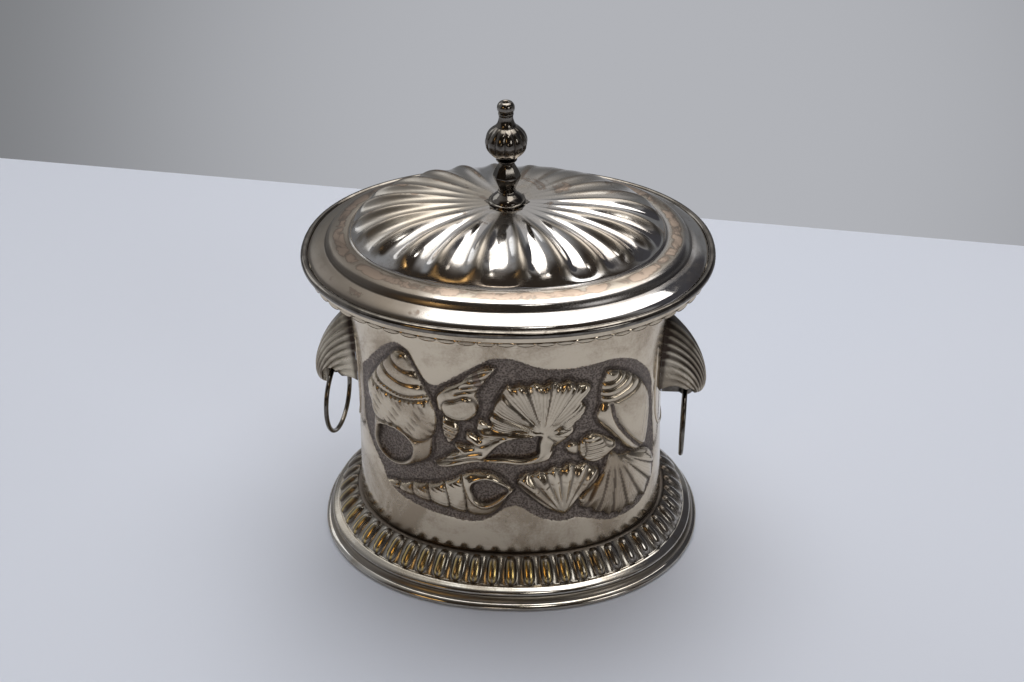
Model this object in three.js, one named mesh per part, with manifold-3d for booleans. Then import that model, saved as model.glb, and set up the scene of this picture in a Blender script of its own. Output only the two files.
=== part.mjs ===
// An oval silver-plated biscuit box, in millimetres, with +Z up and the middle of its base at the origin.
// The handles are at the two ends, along X, and the front is towards -Y.
import * as THREE from 'three';
import { mergeVertices } from 'three/addons/utils/BufferGeometryUtils.js';
import Module from 'manifold-3d';

const wasm = await Module();
wasm.setup();

// Sheet metal and fits
const SHEET = 1.1;                // thickness of the raised sheet
const GAP = 0.3;                  // solder line between pieces that touch
const ROUND_SIDES = 60;           // flat sides that stand for one plain oval

// Plan: every outline is an oval that is a fixed amount narrower than it is long
const NARROWER = 20;              // half length less half width
const OVAL_POWER = 2.14;          // 2 is an ellipse; a little more fills the corners

// Foot
const FOOT_LENGTH = 200;
const BASE_WIRE_HEIGHT = 3.6;
const BASE_WIRE_WIDTH = 3.0;
const FOOT_HEIGHT = 20.7;
const FOOT_STEP_HEIGHT = 10.8;    // top of the bright moulding under the gadroons
const FOOT_STEP_INSET = 8.6;      // from the foot's edge to the lower end of the gadroons
const GADROON_INSET = 16.4;       // from the foot's edge to their upper end
const FOOT_SHELF_WIDTH = 12;      // level seat under the body
const GADROONS = 54;
const GADROON_DEPTH = 2.0;

// Body
const BODY_FOOT_LENGTH = 159.6;
const WAIST_LENGTH = 153.8;
const WAIST_HEIGHT = 92;          // height at which the wall is narrowest
const SHOULDER_LENGTH = 158;      // where the wall's slow spread ends under the lip
const LIP_LENGTH = 178;
const LIP_HEIGHT = 158;
const LIP_POWER = 24;             // the lip turns out in a short cove
const RIM_OVERHANG = 6.5;         // from the lip's edge out to the mouth rim's edge
const RIM_HEIGHT = 3.4;
const SCALLOPS = 58;
const SCALLOP_DROP = 1.9;
const SCALLOP_EDGE = 0.8;         // height of the strip above the scallops
const SCALLOP_BAND = 1.8;         // width of the scalloped strip, seen from below
const SCALLOP_INSET = 0.5;        // from the mouth rim's edge to the strip

// Frieze of sea shells chased on the front and back of the body
const FRIEZE_LOW = 34;            // height of its lower end
const FRIEZE_HEIGHT = 102;
const SHELL_RELIEF = 3.4;         // how far a shell's crown stands proud of the wall
const MOUTH_RELIEF = 0.3;         // what is left of that in a shell's open mouth

// Lid
const LID_OVERHANG = 3;           // from the mouth rim's edge out to the lid's edge
const LID_WIRE = 3.6;             // diameter of the rolled edge
const LID_SLOPE_WIDTH = 7.1;      // sloping border inside the rolled edge
const LID_SLOPE_RISE = 3.5;
const LID_STEP_WIDTH = 3.9;       // cove inside the border
const LID_STEP_RISE = 2.8;
const LID_RING_WIDTH = 9.1;       // raised ring round the dome
const LID_RING_RISE = 2.3;
const DOME_RISE = 13.8;
const DOME_POWER = 5.5;           // flat in the middle with a full shoulder
const FLUTES = 24;
const FLUTE_DEPTH = 1.6;
const FLUTE_RIDGE = 1.9;          // height of the ridges between the flutes
const FLUTE_START = 0.42;         // share of the dome's radius that stays smooth
const BEZEL_DEPTH = 12;           // how far the bezel reaches below the mouth rim
const BEZEL_CLEARANCE = 0.8;      // play between bezel and wall
const MOUTH_CLEARANCE = 2.65;     // play between bezel and mouth rim

// Finial
const STUD_DIAMETER = 4.0;
const FINIAL_FOOT_DIAMETER = 17.4;
const FINIAL_FOOT_HEIGHT = 5.6;
const NECK_DIAMETER = 7.6;
const BALUSTER_DIAMETER = 13;
const BALUSTER_HEIGHT = 15.8;
const CUP_DIAMETER = 9.8;         // flared top of the baluster, under the ball
const BALL_DIAMETER = 19.6;
const BALL_HEIGHT = 17.2;
const BALL_NECK_HEIGHT = 4.2;
const BALL_LOBES = 12;
const TIP_DIAMETER = 8.1;
const TIP_HEIGHT = 6.4;
const WASHER_DIAMETER = 10;
const WASHER_THICKNESS = 1.1;
const NUT_WIDTH = 7;
const NUT_HEIGHT = 3;

// Shell lugs with their eyes and rings
const LUG_BEAK_HEIGHT = 80.5;     // height of the lowest point, where the ribs meet
const LUG_RISE = 47.5;            // from the beak to the top
const LUG_SIDE_RISE = 9.5;        // from the beak to where the free lower edge meets the wall
const LUG_WIDTH = 25;
const LUG_REACH = 18.4;           // from the wall to the beak
const LUG_WALL = 1.4;
const LUG_RIBS = 18;
const LUG_RIB_DEPTH = 0.7;
const LEFT_EYE_RISE = 10;         // from the beak to the eye; the left ring hangs higher
const RIGHT_EYE_RISE = 3;
const EYE_REACH = 12.5;           // from the wall to the ring's wire
const EYE_DIAMETER = 7.6;
const EYE_THICKNESS = 3.2;
const EYE_CLEARANCE = 0.5;
const RING_DIAMETER = 38;         // along the middle of the wire
const RING_WIRE = 2.4;
const RING_NOTCH = 9.6;           // diameter of the cut in the lug's two sides for the ring
const LEFT_RING_DEGREES = -8;     // turn of each ring about the vertical
const RIGHT_RING_DEGREES = -4;

// Colours
const SATIN_SILVER = { color: 0xb4aea2, roughness: 0.38, metalness: 1 };
const BRIGHT_SILVER = { color: 0xc9c6c0, roughness: 0.16, metalness: 1 };
const WORN_SILVER = { color: 0xa08d7c, roughness: 0.34, metalness: 1 };
const DARK_SILVER = { color: 0x8a8780, roughness: 0.22, metalness: 1 };

const FOOT_HALF = FOOT_LENGTH / 2;
const WAIST_HALF = WAIST_LENGTH / 2;
const RIM_HALF = LIP_LENGTH / 2 + RIM_OVERHANG;
const LID_HALF = RIM_HALF + LID_OVERHANG;
const SLOPE_HALF = LID_HALF - LID_WIRE - GAP;
const STEP_HALF = SLOPE_HALF - LID_SLOPE_WIDTH;
const RING_HALF = STEP_HALF - LID_STEP_WIDTH;
const DOME_HALF = RING_HALF - LID_RING_WIDTH;
const FOOT_BASE = BASE_WIRE_HEIGHT + GAP;
const BODY_BASE = FOOT_HEIGHT + GAP;
const RIM_BASE = LIP_HEIGHT + GAP;
const RIM_TOP = RIM_BASE + RIM_HEIGHT;
const LID_BASE = RIM_TOP + GAP;
const BEZEL_BASE = RIM_TOP - BEZEL_DEPTH;
const BORE = STUD_DIAMETER / 2 + GAP;

// The point of an oval of this half length at an angle; inside the dome's edge the ovals keep one shape
function ovalPoint(half, angle) {
  const shape = (DOME_HALF - NARROWER) / DOME_HALF;
  const across = half > DOME_HALF ? half - NARROWER : half * shape;
  const fill = (value) => Math.sign(value) * Math.abs(value) ** (2 / OVAL_POWER);
  return [half * fill(Math.cos(angle)), across * fill(Math.sin(angle))];
}

// Signed volume of an indexed geometry, positive when its faces point out
function signedVolume(geometry) {
  const [a, b, c] = [new THREE.Vector3(), new THREE.Vector3(), new THREE.Vector3()];
  const { position } = geometry.attributes;
  let volume = 0;
  for (let i = 0; i < geometry.index.count; i += 3) {
    [a, b, c].forEach((corner, k) => corner.fromBufferAttribute(position, geometry.index.getX(i + k)));
    volume += a.dot(b.cross(c)) / 6;
  }
  return volume;
}

// Merge a geometry's seams, drop faces without area and turn its faces outwards
function closedBody(geometry) {
  const bare = geometry.clone();
  bare.deleteAttribute('normal');
  bare.deleteAttribute('uv');
  const merged = mergeVertices(bare, 1e-4);
  const faces = [];
  for (let i = 0; i < merged.index.count; i += 3) {
    const [a, b, c] = [0, 1, 2].map((k) => merged.index.getX(i + k));
    if (a !== b && b !== c && c !== a) faces.push([a, b, c]);
  }
  merged.setIndex(faces.flat());
  if (signedVolume(merged) < 0) merged.setIndex(faces.flatMap(([a, b, c]) => [a, c, b]));
  return merged;
}

// Turn a closed section into a ring or disc that follows the ovals
function ovalLathe(section, sides = ROUND_SIDES) {
  const start = section(0);
  const lathe = new THREE.LatheGeometry(start.map(([half, z]) => new THREE.Vector2(half, z)), sides);
  for (let side = 0; side <= sides; side++) {
    const angle = (2 * Math.PI * (side % sides)) / sides;
    section(angle).forEach(([half, z], row) => {
      const [x, y] = ovalPoint(half, angle);
      lathe.attributes.position.setXYZ(side * start.length + row, x, y, z);
    });
  }
  return closedBody(lathe);
}

// Turn a section about the vertical axis through the finial
function roundLathe(section, sides, lobe = () => 1) {
  const lathe = new THREE.LatheGeometry(section.map(([r, z]) => new THREE.Vector2(r, z)), sides);
  const { position } = lathe.attributes;
  for (let side = 0; side <= sides; side++) {
    section.forEach(([r, z], row) => {
      const angle = (2 * Math.PI * (side % sides)) / sides;
      const radius = r * lobe(side % sides, row);
      position.setXYZ(side * section.length + row, radius * Math.cos(angle), radius * Math.sin(angle), z);
    });
  }
  return closedBody(lathe);
}

const closeLoop = (points) => [...points, points[0]];

// Close a run of points with the same run one sheet's thickness to its left
function sheetSection(run, thickness = SHEET) {
  const leftOf = ([x0, z0], [x1, z1]) => {
    const length = Math.hypot(x1 - x0, z1 - z0);
    return [(z0 - z1) / length, (x1 - x0) / length];
  };
  const back = run.map(([half, z], i) => {
    const before = leftOf(run[Math.max(i, 1) - 1], run[Math.max(i, 1)]);
    const after = leftOf(run[Math.min(i, run.length - 2)], run[Math.min(i, run.length - 2) + 1]);
    const scale = thickness / (1 + before[0] * after[0] + before[1] * after[1]);
    const shifted = half === 0 ? 0 : half + scale * (before[0] + after[0]);
    return [shifted, z + scale * (before[1] + after[1])];
  });
  return closeLoop([...run, ...back.reverse()]);
}

// Boolean work on closed geometries
function solidOf(geometry) {
  const body = closedBody(geometry);
  return new wasm.Manifold(new wasm.Mesh({
    numProp: 3,
    vertProperties: new Float32Array(body.attributes.position.array),
    triVerts: new Uint32Array(body.index.array),
  }));
}

function geometryOf(solid) {
  const mesh = solid.getMesh();
  const geometry = new THREE.BufferGeometry();
  geometry.setAttribute('position', new THREE.BufferAttribute(mesh.vertProperties, 3));
  geometry.setIndex(new THREE.BufferAttribute(mesh.triVerts, 1));
  return geometry;
}

// An upright bore through the finial's axis, or a bore along Y
const uprightBore = (radius, low, high) => {
  const bore = new THREE.CylinderGeometry(radius, radius, high - low, 16);
  return bore.rotateX(Math.PI / 2).translate(0, 0, (low + high) / 2);
};
const crossBore = (radius, length, x, z) =>
  new THREE.CylinderGeometry(radius, radius, length, 20).translate(x, 0, z);

// Half length of the body wall's outside at a height
// It spreads to the foot and to the shoulder, and turns out at the lip
function wallHalf(z) {
  if (z < WAIST_HEIGHT) {
    const down = (WAIST_HEIGHT - z) / (WAIST_HEIGHT - BODY_BASE);
    return WAIST_HALF + (BODY_FOOT_LENGTH / 2 - WAIST_HALF) * down ** 1.5;
  }
  const up = (z - WAIST_HEIGHT) / (LIP_HEIGHT - SHEET - WAIST_HEIGHT);
  const shoulder = SHOULDER_LENGTH / 2;
  return WAIST_HALF + (shoulder - WAIST_HALF) * up ** 2 + (LIP_LENGTH / 2 - shoulder) * up ** LIP_POWER;
}

// X of the wall's outside at a distance y from the long axis
function wallX(y, z) {
  const half = wallHalf(z);
  const share = Math.min(1, Math.abs(y) / (half - NARROWER));
  return half * (1 - share ** OVAL_POWER) ** (1 / OVAL_POWER);
}

// Outlines of the frieze's shells and of their open mouths
// Each corner is degrees round the oval from the front's middle, and per cent of the frieze's height
const SHELLS = [
  [[-36, 98], [-33, 97], [-24, 75], [-22, 63], [-25, 41], [-37, 30], [-42, 29], [-51, 33], [-54, 38],
    [-57, 65], [-56, 72], [-52, 79]],
  [[-1, 96], [-6, 95], [-19, 81], [-22, 77], [-21, 70], [-15, 65], [-8, 67], [-6, 72], [-7, 81]],
  [[-6, 56], [-4, 69], [2, 87], [16, 89], [31, 82], [25, 59], [16, 44], [0, 43]],
  [[-24, 37], [-14, 47], [-12, 57], [2, 60], [12, 44], [-4, 43]],
  [[38, 89], [54, 79], [62, 66], [62, 39], [58, 34], [54, 35], [34, 64]],
  [[27, 51], [33, 55], [43, 47], [43, 43], [33, 38], [29, 40]],
  [[-47, 16], [-21, 26], [-10, 35], [-1, 34], [4, 26], [-2, 12], [-6, 10]],
  [[4, 30], [8, 36], [17, 39], [23, 40], [35, 34], [35, 28], [21, 10], [13, 17]],
  [[41, 41], [60, 33], [67, 27], [68, 19], [60, 4], [46, 0], [34, 6], [28, 12], [26, 18], [37, 29]],
];
const SHELL_MOUTHS = [
  [[-48, 51], [-43, 53], [-34, 51], [-31, 47], [-33, 37], [-40, 31], [-49, 34], [-51, 39]],
  [[-6, 45], [1, 56], [13, 60], [12, 49], [9, 46]],
  [[-10, 27], [-8, 31], [-4, 33], [2, 26], [-5, 18], [-8, 20]],
];

// The outline with extra corners, so that no side is longer than 9 degrees and cuts under the wall
function followWall(outline) {
  return outline.flatMap((corner, i) => {
    const next = outline[(i + 1) % outline.length];
    const parts = Math.ceil(Math.abs(next[0] - corner[0]) / 9) || 1;
    return Array.from({ length: parts }, (_, k) => corner.map((v, n) => v + (k / parts) * (next[n] - v)));
  });
}

// A closed form over an outline: one ring for each share of the outline's size and height over the wall
function formOverWall(outline, rings) {
  const middle = [0, 1].map((i) => outline.reduce((sum, corner) => sum + corner[i], 0) / outline.length);
  const onWall = (corner, share, proud) => {
    const [degrees, percent] = middle.map((centre, i) => centre + share * (corner[i] - centre));
    const z = FRIEZE_LOW + (FRIEZE_HEIGHT * percent) / 100;
    const [x, y] = ovalPoint(wallHalf(z) + proud, THREE.MathUtils.degToRad(degrees - 90));
    return new THREE.Vector3(x, y, z);
  };
  const points = rings.flatMap(([share, proud]) => outline.map((corner) => onWall(corner, share, proud)));
  const count = outline.length;
  const [low, high] = [points.length, points.length + 1];
  points.push(onWall(middle, 0, rings[0][1]), onWall(middle, 0, rings[rings.length - 1][1]));
  const faces = [];
  for (let side = 0; side < count; side++) {
    const next = (side + 1) % count;
    const last = (rings.length - 1) * count;
    faces.push(low, next, side, high, last + side, last + next);
    for (let row = 0; row < last; row += count) {
      faces.push(row + side, row + next, row + count + next, row + side, row + count + next, row + count + side);
    }
  }
  const form = new THREE.BufferGeometry().setFromPoints(points);
  form.setIndex(faces);
  return solidOf(form);
}

// The frieze's shells: sheet swelled outwards, steep at its outline and hollow behind
// Returns what is added to the plain wall and then what is cut away from it
function frieze(inside) {
  const outer = [[1, -5 * SHEET], [1, 0.3 * SHELL_RELIEF], [0.8, 0.8 * SHELL_RELIEF], [0.4, SHELL_RELIEF]];
  const inner = outer.map(([share, proud]) => [0.88 * share, proud - SHEET]);
  let [added, removed] = [[], []];
  for (const outline of SHELLS) {
    added.push(formOverWall(followWall(outline), outer).subtract(inside));
    removed.push(formOverWall(outline, inner));
  }
  removed = wasm.Manifold.union(removed);
  for (const outline of SHELL_MOUTHS) {
    const backing = formOverWall(outline, [[1.1, MOUTH_RELIEF - SHEET], [1.4, 2 * SHELL_RELIEF]]);
    const mouth = formOverWall(outline, [[0.9, MOUTH_RELIEF], [1.1, 2 * SHELL_RELIEF]]);
    removed = removed.subtract(backing).add(mouth);
  }
  return [wasm.Manifold.union(added), removed];
}

// The wall: one raised sheet, its frieze the same on the front and the back
function bodyWall() {
  const upperHeight = LIP_HEIGHT - SHEET - WAIST_HEIGHT;
  const lower = [0, 0.3, 0.65, 1].map((t) => BODY_BASE + t * (WAIST_HEIGHT - BODY_BASE));
  const upper = [0.5, 0.85, 0.93, 0.97, 0.99, 1].map((t) => WAIST_HEIGHT + t * upperHeight);
  const outside = [...lower, ...upper].map((z) => [wallHalf(z), z]);
  const core = outside.map(([half, z]) => [half - 0.6 * SHEET, z]);
  const inside = solidOf(ovalLathe(() => [[0, BODY_BASE], ...core, [0, LIP_HEIGHT - SHEET]]));
  const plainWall = solidOf(ovalLathe(() => sheetSection(outside)));
  const [added, removed] = frieze(inside);
  const wall = plainWall.add(added).add(added.rotate([0, 0, 180]));
  return geometryOf(wall.subtract(removed).subtract(removed.rotate([0, 0, 180])));
}

function bodyFloor() {
  const top = BODY_BASE + SHEET;
  const half = wallHalf(top) - SHEET - GAP;
  return ovalLathe(() => [[0, BODY_BASE], [half, BODY_BASE], [half, top], [0, top]]);
}

function footBaseWire() {
  const inner = FOOT_HALF - BASE_WIRE_WIDTH;
  return ovalLathe(() => closeLoop([
    [inner, 0],
    [FOOT_HALF - 0.5, 0],
    [FOOT_HALF, 0.8],
    [FOOT_HALF, BASE_WIRE_HEIGHT - 0.9],
    [FOOT_HALF - 0.8, BASE_WIRE_HEIGHT],
    [inner, BASE_WIRE_HEIGHT],
  ]));
}

// The two ends of the slope that carries the gadroons, on the foot's outside
const gadroonFoot = [FOOT_HALF - FOOT_STEP_INSET, FOOT_STEP_HEIGHT];
const gadroonHead = [FOOT_HALF - GADROON_INSET, FOOT_HEIGHT - 0.5];

// The foot: a hollow spreading stamping whose level shelf carries the body
function footShell() {
  const rise = FOOT_STEP_HEIGHT - FOOT_BASE;
  return ovalLathe(() => sheetSection([
    [FOOT_HALF - 0.2 * FOOT_STEP_INSET, FOOT_BASE],
    [FOOT_HALF - 0.2 * FOOT_STEP_INSET, FOOT_BASE + 0.1 * rise],
    [FOOT_HALF - 0.42 * FOOT_STEP_INSET, FOOT_BASE + 0.34 * rise],
    [FOOT_HALF - 0.57 * FOOT_STEP_INSET, FOOT_BASE + 0.76 * rise],
    [FOOT_HALF - 0.74 * FOOT_STEP_INSET, FOOT_BASE + 0.99 * rise],
    gadroonFoot,
    gadroonHead,
    [gadroonHead[0] - 1.3 * SHEET, FOOT_HEIGHT],
    [BODY_FOOT_LENGTH / 2 - FOOT_SHELF_WIDTH, FOOT_HEIGHT],
  ]));
}

// Upright rounded lobes on the foot's slope, three faces to a lobe
function footGadroons() {
  const run = [gadroonHead[0] - gadroonFoot[0], gadroonHead[1] - gadroonFoot[1]];
  const length = Math.hypot(...run);
  const out = [run[1] / length, -run[0] / length];
  const on = (along, proud) => [
    gadroonFoot[0] + run[0] * along + out[0] * proud,
    gadroonFoot[1] + run[1] * along + out[1] * proud,
  ];
  const sides = GADROONS * 3;
  return ovalLathe((angle) => {
    const crest = Math.round((angle * sides) / (2 * Math.PI)) % 3 === 0 ? 0.35 : 1;
    return closeLoop([
      on(0.02, GAP),
      on(0.02, GAP + 0.5),
      on(0.2, GAP + 0.3 + crest * GADROON_DEPTH * 0.85),
      on(0.72, GAP + 0.3 + crest * GADROON_DEPTH * 0.8),
      on(0.96, GAP + 0.5),
      on(0.96, GAP),
    ]);
  }, sides);
}

// Half length of the bezel's outside, which clears the wall where it reaches lowest
const bezelHalf = wallHalf(BEZEL_BASE) - SHEET - BEZEL_CLEARANCE;

// The flat ring on the lip, which the lid rests on
function mouthRim() {
  const mouth = bezelHalf + MOUTH_CLEARANCE;
  return ovalLathe(() => closeLoop([
    [mouth, RIM_BASE],
    [RIM_HALF - 0.18 * RIM_HEIGHT, RIM_BASE],
    [RIM_HALF, RIM_BASE + 0.24 * RIM_HEIGHT],
    [RIM_HALF, RIM_TOP],
    [mouth, RIM_TOP],
  ]));
}

// A strip with a scalloped lower edge, under the mouth rim
function scallopedBorder() {
  const outer = RIM_HALF - SCALLOP_INSET;
  const inner = outer - SCALLOP_BAND;
  const top = RIM_BASE - GAP;
  const sides = SCALLOPS * 3;
  return ovalLathe((angle) => {
    const hang = Math.round((angle * sides) / (2 * Math.PI)) % 3 === 0 ? 0.4 : 1;
    const low = top - SCALLOP_EDGE - SCALLOP_DROP * hang;
    return closeLoop([[inner, top], [inner, low], [outer - 0.16 * SCALLOP_BAND, low], [outer, top]]);
  }, sides);
}

// Heights on the lid, from the rolled edge inwards
const lidEdge = LID_BASE + LID_WIRE * 0.8;
const coveTop = lidEdge + LID_SLOPE_RISE;
const ringEdge = coveTop + LID_STEP_RISE;
const domeEdge = ringEdge + LID_RING_RISE;
const lidTop = domeEdge + DOME_RISE;

// Height of the fluted dome above its edge at a share of its radius
function domeHeight(share, angle) {
  const sweep = Math.sin(Math.PI * Math.max(0, (share - FLUTE_START) / (1 - FLUTE_START)) ** 1.6);
  const relief = Math.round((angle * FLUTES * 3) / (2 * Math.PI)) % 3 === 0 ? -FLUTE_DEPTH : FLUTE_RIDGE;
  return DOME_RISE * (1 - share ** DOME_POWER) + relief * sweep;
}

// The lid's border from the rolled edge up to the dome: slope, cove and raised ring
const lidBorder = [
  [SLOPE_HALF, lidEdge],
  [SLOPE_HALF - 0.35 * LID_SLOPE_WIDTH, lidEdge + 0.5 * LID_SLOPE_RISE],
  [STEP_HALF, coveTop],
  [STEP_HALF - 0.6 * LID_STEP_WIDTH, coveTop + 0.2 * LID_STEP_RISE],
  [RING_HALF, ringEdge],
  [RING_HALF - 0.25 * LID_RING_WIDTH, ringEdge + 0.75 * LID_RING_RISE],
  [DOME_HALF, domeEdge],
];

// Height of the border's top at a half length, for what is soldered under it
function borderHeight(half) {
  const next = Math.max(1, lidBorder.findIndex(([edge]) => edge < half));
  const [[outer, low], [inner, high]] = [lidBorder[next - 1], lidBorder[next]];
  return low + ((high - low) * (outer - half)) / (outer - inner);
}

// The lid's sheet: its border and the fluted dome
function lidShell() {
  const section = (angle) => sheetSection([
    ...lidBorder,
    ...[0.94, 0.84, 0.66, FLUTE_START, 0].map((t) => [DOME_HALF * t, domeEdge + domeHeight(t, angle)]),
  ]);
  const sheet = solidOf(ovalLathe(section, FLUTES * 3));
  return geometryOf(sheet.subtract(solidOf(uprightBore(BORE, domeEdge, lidTop + DOME_RISE))));
}

// The rolled edge round the lid
function lidRimWire() {
  const radius = LID_WIRE / 2;
  const middle = [LID_HALF - radius, LID_BASE + radius];
  const octagon = [...Array(8).keys()].map((k) => {
    const turn = (2 * Math.PI * (k + 0.5)) / 8;
    const reach = radius / Math.cos(Math.PI / 8);
    return [middle[0] + reach * Math.cos(turn), middle[1] + reach * Math.sin(turn)];
  });
  return ovalLathe(() => closeLoop(octagon));
}

// The collar under the lid that drops inside the mouth
function lidBezel() {
  const top = borderHeight(bezelHalf) - 1.1 * SHEET - GAP;
  const inner = bezelHalf - SHEET;
  return ovalLathe(() => closeLoop([
    [inner, BEZEL_BASE],
    [bezelHalf, BEZEL_BASE],
    [bezelHalf, top],
    [inner, top],
  ]));
}

// Heights of the finial's pieces, from the lid up
const finialBase = lidTop + GAP;
const balusterBase = finialBase + FINIAL_FOOT_HEIGHT + GAP;
const ballBase = balusterBase + BALUSTER_HEIGHT + GAP;
const tipBase = ballBase + BALL_HEIGHT + BALL_NECK_HEIGHT + GAP;

// Place shares of a height and radius as a turned section round the stud's bore
function bored(base, height, rows, bore = BORE) {
  const outside = rows.map(([radius, share]) => [radius, base + share * height]);
  const [low, high] = [outside[0][1], outside[outside.length - 1][1]];
  return closeLoop([...outside, [bore, high], [bore, low]]);
}

function finialFoot() {
  const edge = FINIAL_FOOT_DIAMETER / 2;
  const neck = NECK_DIAMETER / 2;
  const spread = edge - neck;
  return roundLathe(bored(finialBase, FINIAL_FOOT_HEIGHT, [
    [edge, 0],
    [edge, 0.16],
    [neck + 0.74 * spread, 0.32],
    [neck + 0.36 * spread, 0.5],
    [neck + 0.12 * spread, 0.76],
    [neck, 1],
  ]), 16);
}

function finialBaluster() {
  const sides = 8;
  const neck = NECK_DIAMETER / 2;
  const belly = BALUSTER_DIAMETER / 2;
  return roundLathe(bored(balusterBase, BALUSTER_HEIGHT, [
    [neck, 0],
    [neck + 0.15 * (belly - neck), 0.1],
    [belly, 0.42],
    [belly - 0.1 * (belly - neck), 0.5],
    [neck * 0.95, 0.84],
    [CUP_DIAMETER / 2, 1],
  ], BORE / Math.cos(Math.PI / sides)), sides);
}

// The gadrooned ball with its neck, three faces to a lobe
function finialBall() {
  const belly = BALL_DIAMETER / 2;
  const neck = NECK_DIAMETER / 2;
  const ball = [0.04, 0.14, 0.3, 0.5, 0.7, 0.86, 0.96].map((share) => {
    const across = Math.sqrt(1 - (2 * share - 1) ** 2);
    return [Math.max(neck, belly * across), ballBase + share * BALL_HEIGHT];
  });
  const top = ballBase + BALL_HEIGHT + BALL_NECK_HEIGHT;
  const section = closeLoop([[neck, ballBase], ...ball, [neck * 0.86, top], [BORE, top], [BORE, ballBase]]);
  const lobe = (side, row) => (side % 3 === 0 && row > 1 && row < 7 ? 0.93 : 1);
  return roundLathe(section, BALL_LOBES * 3, lobe);
}

// The bead on a collar that screws down on the stud
function finialTip() {
  const bead = TIP_DIAMETER / 2;
  const at = (share) => tipBase + share * TIP_HEIGHT;
  return roundLathe([
    [0, at(1)],
    [0.6 * bead, at(0.93)],
    [0.92 * bead, at(0.74)],
    [bead, at(0.52)],
    [0.93 * bead, at(0.3)],
    [0.74 * bead, at(0.17)],
    [0.87 * bead, at(0.08)],
    [0.79 * bead, at(0)],
    [BORE, at(0)],
    [BORE, at(0.45)],
    [0, at(0.45)],
  ], 16);
}

// Under the lid, from the sheet down
const washerTop = lidTop - SHEET - GAP;
const nutTop = washerTop - WASHER_THICKNESS - GAP;

function finialStud() {
  const low = nutTop - 1.4 * NUT_HEIGHT;
  return uprightBore(STUD_DIAMETER / 2, low, tipBase + 0.45 * TIP_HEIGHT - GAP);
}

function finialWasher() {
  const rows = [[WASHER_DIAMETER / 2, 0], [WASHER_DIAMETER / 2, 1]];
  return roundLathe(bored(washerTop - WASHER_THICKNESS, WASHER_THICKNESS, rows), 12);
}

function finialNut() {
  const corner = NUT_WIDTH / 2 / Math.cos(Math.PI / 6);
  const block = new THREE.CylinderGeometry(corner, corner, NUT_HEIGHT, 6).rotateX(Math.PI / 2);
  block.translate(0, 0, nutTop - NUT_HEIGHT / 2);
  const bore = uprightBore(BORE, nutTop - 2 * NUT_HEIGHT, nutTop + NUT_HEIGHT);
  return geometryOf(solidOf(block).subtract(solidOf(bore)));
}

// A point of the lug at a share of the way round its fan (-1 to 1) and out from the beak (0 to 1)
function lugPoint(fan, share, inset) {
  const turn = Math.abs(fan);
  const side = Math.sign(fan);
  const [crown, flank] = [Math.cos((turn * Math.PI) / 2), Math.sin((turn * Math.PI) / 2)];
  const wide = LUG_WIDTH / 2 - inset;
  const top = LUG_BEAK_HEIGHT + LUG_RISE - inset;
  const marginY = side * wide * Math.sqrt(1 - (1 - turn) ** 3);
  const marginZ = top - (LUG_RISE - inset - LUG_SIDE_RISE) * turn ** 1.3;
  const reach = LUG_REACH - inset;
  const rise = LUG_RISE - inset;
  const beak = new THREE.Vector3(WAIST_HALF + reach, 0, LUG_BEAK_HEIGHT + 0.6 * inset);
  const belly = new THREE.Vector3(
    WAIST_HALF + reach * (0.75 + 0.72 * crown),
    side * 0.72 * wide * flank,
    LUG_BEAK_HEIGHT + 0.6 * inset + rise * 0.08,
  );
  const back = new THREE.Vector3(
    WAIST_HALF + reach * (0.45 + 0.61 * crown),
    side * 0.96 * wide * flank,
    LUG_BEAK_HEIGHT + rise * (0.33 + 0.375 * crown),
  );
  const margin = new THREE.Vector3(wallX(marginY, marginZ) + 1.6 * GAP, marginY, marginZ);
  return new THREE.CubicBezierCurve3(beak, belly, back, margin).getPoint(share);
}

// A cast shell: ribs spread from the beak to a margin that sits on the wall, and its underside is open
function lugShell(eyeHeight) {
  const columns = LUG_RIBS * 2;
  const rows = 6;
  const heart = new THREE.Vector3(WAIST_HALF, 0, LUG_BEAK_HEIGHT + LUG_RISE / 2);
  const points = [];
  for (const inset of [0, LUG_WALL]) {
    for (let column = 0; column <= columns; column++) {
      for (let row = 0; row <= rows; row++) {
        const point = lugPoint((2 * column) / columns - 1, row / rows, inset);
        const rib = inset === 0 && column % 2 === 1 ? LUG_RIB_DEPTH * Math.sin((Math.PI * row) / rows) : 0;
        points.push(point.addScaledVector(point.clone().sub(heart).normalize(), rib));
      }
    }
  }
  const at = (layer, column, row) => (layer * (columns + 1) + column) * (rows + 1) + row;
  const faces = [];
  const quad = (a, b, c, d) => faces.push(a, b, c, a, c, d);
  for (let row = 0; row < rows; row++) {
    for (let column = 0; column < columns; column++) {
      quad(at(0, column, row), at(0, column, row + 1), at(0, column + 1, row + 1), at(0, column + 1, row));
      quad(at(1, column, row), at(1, column + 1, row), at(1, column + 1, row + 1), at(1, column, row + 1));
    }
    quad(at(0, 0, row), at(1, 0, row), at(1, 0, row + 1), at(0, 0, row + 1));
    quad(at(0, columns, row), at(0, columns, row + 1), at(1, columns, row + 1), at(1, columns, row));
  }
  for (let column = 0; column < columns; column++) {
    quad(at(0, column, rows), at(1, column, rows), at(1, column + 1, rows), at(0, column + 1, rows));
  }
  const shell = new THREE.BufferGeometry().setFromPoints(points);
  shell.setIndex(faces);
  const notches = [-1, 1].map((side) => {
    const notch = crossBore(RING_NOTCH / 2, LUG_WIDTH, WAIST_HALF + EYE_REACH, eyeHeight);
    return solidOf(notch.translate(0, side * (LUG_WIDTH / 2 + EYE_THICKNESS), 0));
  });
  return geometryOf(notches.reduce((lug, notch) => lug.subtract(notch), solidOf(shell)));
}

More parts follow.
